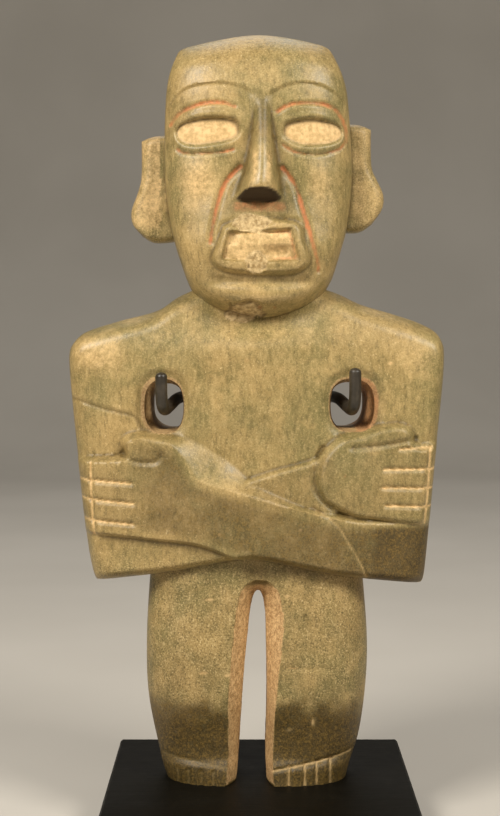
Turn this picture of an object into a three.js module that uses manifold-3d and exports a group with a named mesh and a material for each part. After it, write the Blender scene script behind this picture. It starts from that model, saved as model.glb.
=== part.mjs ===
// A carved greenstone figure with crossed arms, standing on a low black base and steadied by
// two black hook rods. Millimetres, +Z up, the front faces -Y, and the origin is the middle of
// the base's underside. Heights of the figure are counted from its soles, depths from the plane
// through its silhouette: positive is towards the viewer.
import * as THREE from 'three';
import { mergeVertices } from 'three/addons/utils/BufferGeometryUtils.js';
import Module from 'manifold-3d';

// Driving dimensions of the stand
const BASE_WIDTH = 142;
const BASE_DEPTH = 140;
const BASE_HEIGHT = 24;
const BASE_CHAMFER = 1.2;
const ROD_DIAMETER = 5.6;
const ROD_SIDES = 8;
const ROD_STEPS = 30;
const ROD_UPRIGHT_X = 27;
const ROD_UPRIGHT_Y = 33.5;
const ROD_RIGHT_SHIFT = 1.4;
const SOCKET_DEPTH = 14;
const SOCKET_GAP = 0.3;

// Driving dimensions of the figure
const FIGURE_X = -1.5;
const FIGURE_Y = 10;
const SHOULDER_HALF = 88;
const TRUNK_SIDE_FALL = 5;
const TRUNK_BACK = 25;
const TRUNK_BACK_FALL = 6;
const EAR_FRONT = 3;
const EAR_BACK = -10;
const LAYER_SEAM = 4;
const LAYER_BACK = -4;
const HAND_HEIGHT = 6;
const LIP_HEIGHT = 2.6;
const MOUTH_DEPTH = 2.4;
const EYE_DEPTH = 2.6;
const EYE_HALF = [15, 6.6];
const EYE_RIM = 3.2;
const FINE_GROOVE = 1.1;
const GROOVE_WIDTH = 1.5;
const CUTTER_REACH = 60;
const HOLE_REACH = 32;
const OVAL_POINTS = 20;
const THIN_EDGE = 0.03;
const EDGE_CROWDING = 0.7;
const SQUARE = [0.001, 1];

// Colours of the finished pieces
const STONE = new THREE.MeshStandardMaterial({ color: 0x7d7350, roughness: 0.45, metalness: 0 });
const BLACK_STEEL = new THREE.MeshStandardMaterial({ color: 0x17171a, roughness: 0.4, metalness: 0.2 });
const BLACK_WOOD = new THREE.MeshStandardMaterial({ color: 0x141416, roughness: 0.45, metalness: 0 });

const wasm = await Module();
wasm.setup();

// A closed three.js geometry as a solid that can be joined and cut
function solid(geometry) {
  geometry.deleteAttribute('normal');
  geometry.deleteAttribute('uv');
  const merged = mergeVertices(geometry);
  return new wasm.Manifold(new wasm.Mesh({
    numProp: 3,
    vertProperties: new Float32Array(merged.attributes.position.array),
    triVerts: new Uint32Array(merged.index.array),
  }));
}

// A finished solid as a named mesh with flat facets
function piece(name, body, material) {
  const mesh = body.getMesh();
  const geometry = new THREE.BufferGeometry();
  geometry.setAttribute('position', new THREE.BufferAttribute(mesh.vertProperties, 3));
  geometry.setIndex(new THREE.BufferAttribute(mesh.triVerts, 1));
  geometry.computeVertexNormals();
  const result = new THREE.Mesh(geometry, material);
  result.name = name;
  return result;
}

// A smooth curve in the front view through points [x, z]
function curve(points) {
  return new THREE.SplineCurve(points.map(([x, z]) => new THREE.Vector2(x, z)));
}

// A smooth value through knots [place, value], held level past the ends
function through(knots) {
  const slope = knots.map((knot, i) => {
    const before = knots[Math.max(i - 1, 0)];
    const after = knots[Math.min(i + 1, knots.length - 1)];
    return (after[1] - before[1]) / (after[0] - before[0]);
  });
  return (place) => {
    const last = knots.length - 1;
    if (place <= knots[0][0]) return knots[0][1];
    if (place >= knots[last][0]) return knots[last][1];
    const i = knots.findIndex((knot) => place < knot[0]) - 1;
    const span = knots[i + 1][0] - knots[i][0];
    const t = (place - knots[i][0]) / span;
    const bend = (1 - t) * slope[i] - t * slope[i + 1];
    const rise = knots[i + 1][1] - knots[i][1];
    return knots[i][1] + rise * t + t * (1 - t) * (span * bend + rise * (2 * t - 1));
  };
}

// How much of the full depth is left at a distance from a rounded edge
function roundOff(distance, [radius, power]) {
  const inside = 1 - Math.min(distance / radius, 1);
  return Math.pow(1 - Math.pow(inside, power), 1 / power);
}

// A worn, cushion-shaped body: four sides give its outline in the front view, front, back and
// seam give its depths there, and edges give the radius and power of the rounding at each side
function cushion({ sides, front, back, seam = () => 0, edges, columns, rows }) {
  const bottom = curve(sides.bottom);
  const top = curve(sides.top);
  const left = curve(sides.left);
  const right = curve(sides.right);
  const crowd = (t) => t + (0.5 - 0.5 * Math.cos(Math.PI * t) - t) * EDGE_CROWDING;
  const box = new THREE.BoxGeometry(1, 1, 1, columns, 1, rows);
  const place = box.attributes.position;
  for (let i = 0; i < place.count; i += 1) {
    const u = crowd(place.getX(i) + 0.5);
    const v = crowd(place.getZ(i) + 0.5);
    const low = bottom.getPointAt(u);
    const high = top.getPointAt(u);
    const west = left.getPointAt(v);
    const east = right.getPointAt(v);
    const corners = (axis) => (1 - v) * ((1 - u) * left.getPointAt(0)[axis] + u * right.getPointAt(0)[axis])
      + v * ((1 - u) * left.getPointAt(1)[axis] + u * right.getPointAt(1)[axis]);
    const x = (1 - v) * low.x + v * high.x + (1 - u) * west.x + u * east.x - corners('x');
    const z = (1 - v) * low.y + v * high.y + (1 - u) * west.y + u * east.y - corners('y');
    const width = west.distanceTo(east);
    const height = low.distanceTo(high);
    const fullness = roundOff(u * width, edges.left) * roundOff((1 - u) * width, edges.right)
      * roundOff(v * height, edges.bottom) * roundOff((1 - v) * height, edges.top);
    const middle = seam(x, z);
    const face = place.getY(i) < 0 ? front(x, z) : back(x, z);
    place.setXYZ(i, x, -(middle + (face - middle) * (THIN_EDGE + (1 - THIN_EDGE) * fullness)), z);
  }
  return solid(box);
}

// A straight cutter: a front-view shape pushed from the silhouette plane towards the viewer
function prism(shape) {
  const geometry = new THREE.ExtrudeGeometry(shape, { depth: CUTTER_REACH, bevelEnabled: false });
  geometry.rotateX(Math.PI / 2);
  return solid(geometry);
}

// A narrow shape along a curve in the front view
function strip(points, width = GROOVE_WIDTH) {
  const path = curve(points);
  const steps = 4 * (points.length - 1);
  const bank = (offset) => Array.from({ length: steps + 1 }, (_, i) => {
    const along = path.getTangentAt(i / steps);
    return path.getPointAt(i / steps).add(new THREE.Vector2(-along.y, along.x).multiplyScalar(offset));
  });
  return new THREE.Shape([...bank(-width / 2), ...bank(width / 2).reverse()]);
}

// A rounded box or lens in the front view: power 2 is an ellipse
function oval(x, z, halfWidth, halfHeight, power) {
  const bulge = (value) => Math.sign(value) * Math.pow(Math.abs(value), 2 / power);
  const turn = (i) => (i / OVAL_POINTS) * 2 * Math.PI;
  return new THREE.Shape(Array.from({ length: OVAL_POINTS }, (_, i) => new THREE.Vector2(
    x + halfWidth * bulge(Math.cos(turn(i))),
    z + halfHeight * bulge(Math.sin(turn(i))),
  )));
}

// Cuts a shape into a body, down to the surface of a slightly sunk copy of it
function engrave(body, shape, sunk) {
  return body.subtract(prism(shape).subtract(sunk));
}

// Head: a broad mask-like block, rounded at its sides and back
const headFront = through([[214, 18], [224, 25], [236, 28], [250, 30], [262, 28.5], [276, 26], [300, 25.5],
  [318, 27], [332, 24], [345, 18], [350, 15]]);
const headBack = through([[214, 12], [240, 20], [270, 27], [300, 29], [325, 27], [350, 17]]);
const HEAD_SIDES = {
  bottom: [[-33, 235], [-28.3, 226.6], [-17, 219], [0.8, 214.2], [20, 219], [30.1, 226.6], [35.6, 235]],
  right: [[35.6, 235], [39.9, 249.4], [42.8, 261.3], [45, 285], [43.3, 314.5], [41.1, 328.2], [35.8, 341]],
  top: [[-37.2, 340.2], [-32.1, 344.2], [0, 349.8], [29, 345.4], [35.8, 341]],
  left: [[-33, 235], [-37.7, 249.4], [-40.5, 261.3], [-43.4, 285], [-42.9, 314.5], [-41.4, 328.2],
    [-37.2, 340.2]],
};
function headBlock(sunk) {
  return cushion({
    sides: HEAD_SIDES,
    front: (x, z) => headFront(z) - sunk,
    back: (x, z) => -headBack(z),
    edges: { left: [42, 2.7], right: [42, 2.7], bottom: [13, 2.2], top: [15, 2.2] },
    columns: 14,
    rows: 15,
  });
}

// Ears: flat flanges set back from the face, each with a round lobe
function ear(sides) {
  return cushion({
    sides,
    front: () => EAR_FRONT,
    back: () => EAR_BACK,
    seam: () => (EAR_FRONT + EAR_BACK) / 2,
    edges: { left: [5, 2], right: [5, 2], bottom: [5, 2], top: [4, 2] },
    columns: 5,
    rows: 10,
  });
}
const LEFT_EAR_SIDES = {
  bottom: [[-54, 255.4], [-47, 252.2], [-30, 254]],
  right: [[-30, 254], [-30, 303]],
  top: [[-54.5, 300.5], [-47, 303], [-30, 303]],
  left: [[-54, 255.4], [-58.6, 261], [-59.4, 267.5], [-56.4, 276], [-54.6, 284], [-54.5, 300.5]],
};
const RIGHT_EAR_SIDES = {
  bottom: [[31, 258], [47, 257], [54.5, 261]],
  right: [[54.5, 261], [59.4, 268], [60.2, 275], [57, 282.5], [54.5, 289], [54.2, 306]],
  top: [[31, 308.4], [47, 308.4], [54.2, 306]],
  left: [[31, 258], [31, 308.4]],
};

// Nose: a wedge that widens downwards to a flat, undercut base
const noseRidge = through([[270, 40], [277, 42], [288, 38.5], [300, 34], [310, 30.5], [317, 27.5]]);
function nose() {
  return cushion({
    sides: {
      bottom: [[-13.2, 270.6], [0.5, 269.6], [13.6, 270.8]],
      right: [[13.6, 270.8], [11.8, 285], [9, 300], [7.6, 317]],
      top: [[-2.6, 317], [7.6, 317]],
      left: [[-13.2, 270.6], [-8.8, 285], [-4.8, 300], [-2.6, 317]],
    },
    front: (x, z) => noseRidge(z),
    back: () => 10,
    seam: () => 16,
    edges: { left: [11, 1.5], right: [11, 1.5], bottom: [5, 2], top: [6, 2] },
    columns: 6,
    rows: 7,
  });
}

// Mouth: a raised rim around a sunken field with a ridge across its upper half
const MOUTH_SIDES = {
  bottom: [[-18.6, 241.6], [-1.5, 238.6], [16.2, 239.2], [23, 242.2]],
  right: [[23, 242.2], [20.6, 251], [17.2, 260]],
  top: [[-14.4, 259.6], [1.5, 262.4], [17.2, 260]],
  left: [[-18.6, 241.6], [-17, 250], [-14.4, 259.6]],
};
function lips() {
  return cushion({
    sides: MOUTH_SIDES,
    front: (x, z) => headFront(z) + LIP_HEIGHT,
    back: () => 12,
    seam: () => 18,
    edges: { left: [3.4, 2.2], right: [3.4, 2.2], bottom: [3.4, 2.2], top: [3.4, 2.2] },
    columns: 8,
    rows: 5,
  });
}
function mouthRidge() {
  return cushion({
    sides: {
      bottom: [[-10, 249.8], [17.5, 249.6]],
      right: [[17.5, 249.6], [15.6, 256.4]],
      top: [[-9.6, 255.8], [15.6, 256.4]],
      left: [[-10, 249.8], [-9.6, 255.8]],
    },
    front: (x, z) => headFront(z) - 0.4,
    back: () => 14,
    seam: () => 20,
    edges: { left: [2, 2], right: [2, 2], bottom: [2, 2], top: [2, 2] },
    columns: 4,
    rows: 3,
  });
}
const MOUTH_FIELD = new THREE.Shape([[-13.2, 255.4], [-15.8, 243.4], [-1, 242.4], [20, 243.4], [15.8, 257.2]]
  .map(([x, z]) => new THREE.Vector2(x, z)));

// Face lines: brows, the folds beside the nose and the ring around each eye
const FACE_LINES = [
  [[-40.4, 315.7], [-28.4, 324.1], [-18.2, 325], [-4.3, 321.9], [1.4, 318.4], [11.7, 323.3], [19.9, 325.2],
    [30.8, 323.8], [39.9, 318]],
  [[-7.4, 286.4], [-14.2, 279.2], [-18, 268.6], [-21.2, 251.6]],
  [[11.7, 285.9], [16.7, 279.2], [21.4, 265.2], [28.2, 238.8]],
];
const EYES = [[-23.3, 302.4], [24.6, 302.4]];
const CHIPS = [
  { at: [-5, 24, 217.6], size: [9.5, 5, 5.5] },
  { at: [-0.5, 34, 261], size: [8, 4, 4.4] },
  { at: [0.8, 34, 241], size: [5, 4.2, 5.6] },
];
function head() {
  const [sunkLine, sunkEye, sunkMouth] = [FINE_GROOVE, EYE_DEPTH, MOUTH_DEPTH].map(headBlock);
  let body = headBlock(0).add(ear(LEFT_EAR_SIDES)).add(ear(RIGHT_EAR_SIDES));
  for (const line of FACE_LINES) body = engrave(body, strip(line), sunkLine);
  for (const [x, z] of EYES) {
    const ring = oval(x, z + 0.6, EYE_HALF[0] + EYE_RIM, EYE_HALF[1] + EYE_RIM + 0.8, 2.4);
    ring.holes.push(oval(x, z + 0.6, EYE_HALF[0] + EYE_RIM - 1.3, EYE_HALF[1] + EYE_RIM - 0.5, 2.4));
    body = engrave(body, ring, sunkLine);
    body = engrave(body, oval(x, z, EYE_HALF[0], EYE_HALF[1], 2.4), sunkEye);
  }
  body = body.add(nose()).add(lips());
  body = engrave(body, MOUTH_FIELD, sunkMouth).add(mouthRidge());
  for (const { at: [x, forward, z], size } of CHIPS) {
    const chip = new THREE.IcosahedronGeometry(1, 1);
    chip.scale(size[0], size[1], size[2]);
    chip.translate(x, -forward, z);
    body = body.subtract(solid(chip));
  }
  return body;
}

// Trunk: a flat slab with the upper arms left on at both sides and the neck at its top
const chestFront = through([[92, 22], [120, 23], [150, 21.5], [175, 22.5], [200, 22], [215, 19], [232, 14],
  [242, 12]]);
const trunkFront = (x, z) => chestFront(z) - TRUNK_SIDE_FALL * (x / SHOULDER_HALF) ** 2;
const trunkBack = (x) => -(TRUNK_BACK - TRUNK_BACK_FALL * (x / SHOULDER_HALF) ** 2);
function trunk() {
  return cushion({
    sides: {
      bottom: [[-76, 93], [-40, 97.5], [-8, 103], [4, 103], [38, 96], [78, 91.5]],
      right: [[78, 91.5], [79.8, 101.1], [84, 147.8], [87.6, 184.7], [88.6, 203]],
      top: [[-87.1, 204.3], [-81, 210], [-65, 215.3], [-46.6, 220.4], [-33.2, 228.5], [0, 240], [34.9, 229.5],
        [49.1, 223.2], [63.8, 218.8], [76, 214.7], [84.7, 210], [88.6, 203]],
      left: [[-76, 93], [-79.8, 111.1], [-85.3, 160.1], [-88.4, 195.7], [-87.1, 204.3]],
    },
    front: trunkFront,
    back: trunkBack,
    edges: { left: [11, 2.5], right: [11, 2.5], bottom: [6, 2.2], top: [10, 2.2] },
    columns: 16,
    rows: 11,
  });
}

// Arms: raised layers on the slab. The far arm lies under the near one, and each hand on the
// other arm's elbow. height gives how far a layer stands off the slab along x
function layer(sides, height, edges, columns, rows, sunk = 0) {
  return cushion({
    sides,
    front: (x, z) => trunkFront(x, z) + height(x) - sunk,
    back: () => LAYER_BACK,
    seam: () => LAYER_SEAM,
    edges,
    columns,
    rows,
  });
}
const ROUND_EDGES = { left: [8, 2.2], right: [8, 2.2], bottom: [5, 2.2], top: [5, 2.2] };
const THUMB_EDGES = { left: [4, 2], right: [4, 2], bottom: [4, 2], top: [4, 2] };
const FAR_ARM_SIDES = {
  bottom: [[-74, 93.6], [-40, 97], [-9.6, 102.6], [15, 110], [36, 126]],
  right: [[36, 126], [36, 158]],
  top: [[-80, 119], [-45, 129.5], [-5, 143.6], [26, 153], [36, 158]],
  left: [[-74, 93.6], [-80, 119]],
};
const NEAR_ARM_SIDES = {
  bottom: [[-79.4, 114.6], [-46, 112.8], [-26, 110.6], [-9.6, 104.4], [4, 101.2], [38, 94.8], [76.5, 92.6]],
  right: [[76.5, 92.6], [80.5, 124.5]],
  top: [[-83.6, 151.6], [-57, 152.6], [-45, 155.6], [-36, 157.6], [-26.6, 144], [26, 130.4], [50, 125],
    [80.5, 124.5]],
  left: [[-79.4, 114.6], [-82.4, 134], [-83.6, 151.6]],
};
const RIGHT_HAND_SIDES = {
  bottom: [[30, 130], [38.5, 126.6], [51.7, 121.8], [81, 121.6]],
  right: [[81, 121.6], [83.6, 140], [84.6, 158.6]],
  top: [[28.6, 154.6], [36, 160.6], [57, 158.4], [84.6, 158.6]],
  left: [[30, 130], [25.2, 142], [28.6, 154.6]],
};
const LEFT_THUMB_SIDES = {
  bottom: [[-61.5, 156.2], [-55, 149.6], [-30, 146]],
  right: [[-30, 146], [-30, 156.4]],
  top: [[-61.5, 161.6], [-56.4, 164.8], [-46, 163.2], [-30, 156.4]],
  left: [[-61.5, 156.2], [-63, 159], [-61.5, 161.6]],
};
const RIGHT_THUMB_SIDES = {
  bottom: [[32, 152], [57, 154.6], [69.4, 160.6]],
  right: [[69.4, 160.6], [72.4, 164.6], [69.4, 168.4]],
  top: [[32, 161], [47.5, 165.4], [62.2, 168], [69.4, 168.4]],
  left: [[32, 152], [32, 161]],
};
const farArmHeight = through([[-78, 1.5], [-40, 3], [0, 3.5], [36, 5]]);
const thumbHeight = through([[-62, 7.2], [-46, 7], [-30, 4], [32, 3.5], [46, 6.8], [72, 7.2]]);
const nearArmHeight = through([[-84, 5], [-40, 6.5], [0, 7.5], [40, 5.5], [80, 1.5]]);
const FINGER_LINES = {
  near: [
    [[-86, 142.6], [-57.9, 140.8]],
    [[-86, 134.2], [-56.9, 131.5]],
    [[-86, 124.6], [-56.9, 122]],
    [[-76.6, 152], [-76.2, 134], [-74.6, 114]],
  ],
  far: [
    [[58.6, 147.2], [87, 147]],
    [[58, 138.8], [87, 138]],
    [[59.4, 130.5], [87, 129.4]],
    [[80.6, 159], [79.6, 140], [77.4, 121]],
  ],
};
function arms(body) {
  const near = (sunk) => layer(NEAR_ARM_SIDES, nearArmHeight, ROUND_EDGES, 16, 5, sunk);
  const hand = (sunk) => layer(RIGHT_HAND_SIDES, () => HAND_HEIGHT, ROUND_EDGES, 8, 6, sunk);
  const thumb = (sides) => layer(sides, thumbHeight, THUMB_EDGES, 6, 3);
  let result = body.add(layer(FAR_ARM_SIDES, farArmHeight, ROUND_EDGES, 12, 5)).add(near(0)).add(hand(0));
  for (const line of FINGER_LINES.near) result = engrave(result, strip(line), near(FINE_GROOVE));
  for (const line of FINGER_LINES.far) result = engrave(result, strip(line), hand(FINE_GROOVE));
  return result.add(thumb(LEFT_THUMB_SIDES)).add(thumb(RIGHT_THUMB_SIDES));
}

// Legs: two short blocks and the hips that join them, parted by a tapering slot with broad bevels
const legFront = through([[0, 23.6], [8, 22.8], [12, 20.6], [24, 21.4], [40, 24.4], [62, 24], [86, 21],
  [108, 19]]);
const legBack = through([[0, 20], [12, 17], [40, 19], [70, 23], [108, 24]]);
function leg(sides, edges, columns = 7, rows = 12) {
  return cushion({
    sides,
    front: (x, z) => legFront(z),
    back: (x, z) => -legBack(z),
    edges: { bottom: SQUARE, top: SQUARE, ...edges },
    columns,
    rows,
  });
}
const LEFT_LEG_SIDES = {
  bottom: [[-42.5, 0], [-10.4, 0]],
  right: [[-10.4, 0], [-8.6, 8], [-5.8, 48.3], [-3.7, 69.4], [-1.6, 84], [2.5, 91], [2.5, 108]],
  top: [[-49, 108], [2.5, 108]],
  left: [[-42.5, 0], [-45.7, 10.1], [-51.3, 38], [-52.2, 64.1], [-50.8, 92], [-49, 108]],
};
const RIGHT_LEG_SIDES = {
  bottom: [[5.4, 0], [42.6, 0]],
  right: [[42.6, 0], [44.6, 7.6], [48.9, 21.1], [51.8, 42.3], [52.6, 63.5], [51, 88], [49, 108]],
  top: [[-1, 108], [49, 108]],
  left: [[5.4, 0], [4, 10.6], [4.8, 40], [4.2, 73.5], [3, 84.6], [-1, 91], [-1, 108]],
};
const HIP_SIDES = {
  bottom: [[-20, 80], [-8, 87], [0.8, 89.6], [9, 87], [20, 80]],
  right: [[20, 80], [20, 108]],
  top: [[-20, 108], [20, 108]],
  left: [[-20, 80], [-20, 108]],
};
const TOE_LINES = {
  left: [-36.8, -31.7, -25.6, -20.1].map((x) => [[x, -1], [x, 7.4]]),
  right: [15, 22.3, 27.8, 34.3].map((x) => [[x, -1], [x, 9 + x * 0.08]]),
};
function legs() {
  const outer = [28, 2.3];
  const inner = [6.5, 1.5];
  let body = leg(LEFT_LEG_SIDES, { left: outer, right: inner })
    .add(leg(RIGHT_LEG_SIDES, { left: inner, right: outer }))
    .add(leg(HIP_SIDES, { left: SQUARE, right: SQUARE, bottom: inner }, 8, 4));
  const sunk = cushion({
    sides: {
      bottom: [[-42.5, -2], [42.6, -2]],
      right: [[42.6, -2], [52, 40]],
      top: [[-52, 40], [52, 40]],
      left: [[-42.5, -2], [-52, 40]],
    },
    front: (x, z) => legFront(z) - FINE_GROOVE,
    back: () => -1,
    edges: { left: outer, right: outer, bottom: SQUARE, top: SQUARE },
    columns: 14,
    rows: 8,
  });
  for (const line of [...TOE_LINES.left, ...TOE_LINES.right]) body = engrave(body, strip(line), sunk);
  return body;
}

// Armpit holes: drilled through the slab, wider at the front and at the back than in the middle.
// Each row gives forward depth, middle x and z, half width and half height
const HOLES = [
  [[26, -43.6, 176.6, 10.4, 13.8], [8, -41.8, 175.4, 7.8, 10.8], [-28, -38.6, 175.6, 11.4, 12]],
  [[26, 45, 177, 12, 13.4], [8, 43.2, 176, 8.8, 10.8], [-28, 40, 176, 11.6, 12]],
];
function hole(rings) {
  const bore = new THREE.CylinderGeometry(1, 1, 2 * HOLE_REACH, 16, 3);
  const bulge = (value) => Math.sign(value) * Math.pow(Math.abs(value), 0.75);
  const along = (index) => through([...rings].reverse().map((ring) => [ring[0], ring[index]]));
  const [middleX, middleZ, halfX, halfZ] = [1, 2, 3, 4].map(along);
  const place = bore.attributes.position;
  for (let i = 0; i < place.count; i += 1) {
    const forward = -place.getY(i);
    const x = middleX(forward) + halfX(forward) * bulge(place.getX(i));
    const z = middleZ(forward) + halfZ(forward) * bulge(place.getZ(i));
    place.setXYZ(i, x, place.getY(i), z);
  }
  return solid(bore);
}

function figure() {
  let body = arms(trunk());
  for (const rings of HOLES) body = body.subtract(hole(rings));
  return body.add(legs()).add(head());
}

// Hook rod: up behind a leg, forward through the armpit hole, then up again before the chest.
// Its steps are shared out evenly between the points of its route, so the bends get most of them
function rod(side) {
  const foot = -SOCKET_DEPTH;
  const route = [[ROD_UPRIGHT_X, ROD_UPRIGHT_Y, foot], [ROD_UPRIGHT_X, ROD_UPRIGHT_Y, 80],
    [ROD_UPRIGHT_X, ROD_UPRIGHT_Y, 155], [28.5, 32.6, 169], [33.2, 26, 177], [37.4, 8, 178.4],
    [41, -12, 175.6], [42.6, -20.4, 174.8], [43.4, -24.8, 177.4], [43.8, -25.8, 182.6], [43.8, -25.8, 188]];
  const shift = side > 0 ? ROD_RIGHT_SHIFT : 0;
  const points = route.map(([x, y, z]) => new THREE.Vector3(side * x + shift, y, z));
  const path = new THREE.CatmullRomCurve3(points);
  path.getPointAt = path.getPoint;
  path.getTangentAt = path.getTangent;
  const round = new THREE.Shape(Array.from({ length: ROD_SIDES }, (_, i) => new THREE.Vector2(
    (ROD_DIAMETER / 2) * Math.cos((2 * Math.PI * i) / ROD_SIDES),
    (ROD_DIAMETER / 2) * Math.sin((2 * Math.PI * i) / ROD_SIDES),
  )));
  const bar = new THREE.ExtrudeGeometry(round, { steps: ROD_STEPS, extrudePath: path });
  const tip = new THREE.SphereGeometry(ROD_DIAMETER / 2, ROD_SIDES, 6);
  tip.translate(points.at(-1).x, points.at(-1).y, points.at(-1).z);
  return solid(bar).add(solid(tip));
}

// Base: a low block with bevelled edges and a drilled socket for each rod
function base() {
  const half = [BASE_WIDTH / 2 - BASE_CHAMFER, BASE_DEPTH / 2 - BASE_CHAMFER];
  const plan = new THREE.Shape([[-1, -1], [1, -1], [1, 1], [-1, 1]]
    .map(([x, y]) => new THREE.Vector2(x * half[0], y * half[1])));
  const block = new THREE.ExtrudeGeometry(plan, {
    depth: BASE_HEIGHT - 2 * BASE_CHAMFER,
    bevelSize: BASE_CHAMFER,
    bevelThickness: BASE_CHAMFER,
    bevelSegments: 1,
  });
  block.translate(0, 0, BASE_CHAMFER);
  let body = solid(block);
  for (const side of [-1, 1]) {
    const socket = new THREE.CylinderGeometry(1, 1, 2 * SOCKET_DEPTH, 16);
    const radius = ROD_DIAMETER / 2 + SOCKET_GAP;
    socket.scale(radius, 1, radius);
    socket.rotateX(Math.PI / 2);
    const shift = side > 0 ? ROD_RIGHT_SHIFT : 0;
    socket.translate(FIGURE_X + side * ROD_UPRIGHT_X + shift, FIGURE_Y + ROD_UPRIGHT_Y, BASE_HEIGHT);
    body = body.subtract(solid(socket));
  }
  return body;
}

const standing = new THREE.Group();
standing.position.set(FIGURE_X, FIGURE_Y, BASE_HEIGHT);
standing.add(piece('figurine', figure(), STONE));
standing.add(piece('hook_rod_left', rod(-1), BLACK_STEEL));
standing.add(piece('hook_rod_right', rod(1), BLACK_STEEL));

const group = new THREE.Group();
group.add(standing);
group.add(piece('stand_base', base(), BLACK_WOOD));

export default group;
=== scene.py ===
# %% [markdown]
# # A carved greenstone figure on its stand
# The object is a flat stone figure with crossed arms, held upright on a black block by two black hook
# rods that pass through its armpit holes. The imported solids give every place and size, so they are
# loaded first.

# %% Load the frame
import math
import bpy
import numpy as np
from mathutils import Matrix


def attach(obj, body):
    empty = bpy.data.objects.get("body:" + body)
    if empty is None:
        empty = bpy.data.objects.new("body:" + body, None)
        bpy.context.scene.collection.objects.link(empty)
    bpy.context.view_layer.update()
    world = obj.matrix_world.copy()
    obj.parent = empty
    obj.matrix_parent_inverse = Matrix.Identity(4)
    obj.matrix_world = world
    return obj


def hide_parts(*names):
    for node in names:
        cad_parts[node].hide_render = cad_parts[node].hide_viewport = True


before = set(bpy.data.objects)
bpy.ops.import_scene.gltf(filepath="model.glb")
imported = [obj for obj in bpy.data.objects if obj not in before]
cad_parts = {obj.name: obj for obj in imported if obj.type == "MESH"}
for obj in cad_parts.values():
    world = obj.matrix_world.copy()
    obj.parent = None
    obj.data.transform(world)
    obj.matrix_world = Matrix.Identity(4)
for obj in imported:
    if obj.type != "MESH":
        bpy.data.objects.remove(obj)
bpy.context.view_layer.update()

# %% [markdown]
# ## The frame of the figure
# The carver works from the front view: heights count from the soles, depths from the plane through the
# silhouette, positive towards the viewer. All shapes below are worked out in millimetres in that frame,
# and one function puts them in place in metres.

# %% Places
FIGURE_X, FIGURE_Y, BASE_HEIGHT = -1.5, 10.0, 24.0


def placed(x, depth, z):
    """Figure frame in millimetres to row frame in metres: shift by the figure's place, then a thousandth."""
    return np.stack([x + FIGURE_X, FIGURE_Y - depth, z + BASE_HEIGHT], axis=-1) * 0.001


def solid(name, place, faces):
    """A new object at the origin, from points in metres and lists of corner numbers."""
    mesh = bpy.data.meshes.new(name)
    mesh.from_pydata(place.reshape(-1, 3).tolist(), [], faces)
    made = bpy.data.objects.new(name, mesh)
    bpy.context.collection.objects.link(made)
    return made


print("soles stand at", placed(np.array(0.0), np.array(0.0), np.array(0.0)))

# %% [markdown]
# ## Drawing tools: curves and profiles
# A carver lays out a figure with a few smooth lines. A line through measured points is a Catmull-Rom
# curve, and a depth that changes with height is a smooth value through measured knots. Both are plain
# formulas, so whole arrays go through them at once.


# %% Curves and profiles
def smooth_curve(points, at):
    """Points at the fractions `at` of the length of a Catmull-Rom curve: between two points it is the cubic
    whose end slopes are half the chord of the neighbours."""
    knots = np.asarray(points, float)
    ends = np.vstack([knots[:1], knots, knots[-1:]])
    p0, p1, p2, p3 = (ends[i:len(knots) - 1 + i, None, :] for i in range(4))
    t = np.linspace(0, 1, 24, endpoint=False)[None, :, None]
    v1, v2 = (p2 - p0) / 2, (p3 - p1) / 2
    fine = (2 * p1 - 2 * p2 + v1 + v2) * t**3 + (3 * p2 - 3 * p1 - 2 * v1 - v2) * t**2 + v1 * t + p1
    fine = np.vstack([fine.reshape(-1, knots.shape[1]), knots[-1:]])
    run = np.concatenate([[0], np.cumsum(np.linalg.norm(np.diff(fine, axis=0), axis=1))])
    where = np.asarray(at) * run[-1]
    return np.stack([np.interp(where, run, fine[:, k]) for k in range(fine.shape[1])], axis=1)


def line(points, pieces=None):
    """A smooth curve as a polyline with even pieces, four to each stretch unless told otherwise."""
    return smooth_curve(points, np.linspace(0, 1, (pieces or 4 * (len(points) - 1)) + 1))


def through(knots):
    """A smooth value through knots [place, value]: cubics whose slope at a knot is that of the chord between
    its neighbours, held level past the ends."""
    place, value = np.asarray(knots, float).T
    after = np.minimum(np.arange(len(place)) + 1, len(place) - 1)
    before = np.maximum(np.arange(len(place)) - 1, 0)
    slope = (value[after] - value[before]) / (place[after] - place[before])

    def read(at):
        at = np.clip(at, place[0], place[-1])
        i = np.clip(np.searchsorted(place, at, side="right") - 1, 0, len(place) - 2)
        span = place[i + 1] - place[i]
        t = (at - place[i]) / span
        rise = value[i + 1] - value[i]
        bend = (1 - t) * slope[i] - t * slope[i + 1]
        return value[i] + rise * t + t * (1 - t) * (span * bend + rise * (2 * t - 1))
    return read


def ease(value, low, high):
    """0 below low, 1 above high, and the cubic 3t^2 - 2t^3 between."""
    t = np.clip((value - low) / (high - low), 0, 1)
    return t * t * (3 - 2 * t)


def swell(distance, width):
    """1 on the line, easing to 0 at width."""
    return 1 - ease(np.abs(distance), 0, width)


def soft_max(a, b, blend):
    """The larger of two depths, with a fillet of about the blend where they cross."""
    h = np.clip(0.5 + 0.5 * (a - b) / blend, 0, 1)
    return b + (a - b) * h + blend * h * (1 - h)


print("a knot profile at 5:", float(through([[0, 0], [5, 2], [9, 3]])(5)))

# %% [markdown]
# ## Drawing tools: distance to a line
# Grooves, ridges and steps all follow a drawn line, so each needs the distance from every point of the
# surface to that line. Inside a closed outline the distance is positive. The loop runs over the pieces of
# the line, and every pass handles the whole surface.


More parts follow.
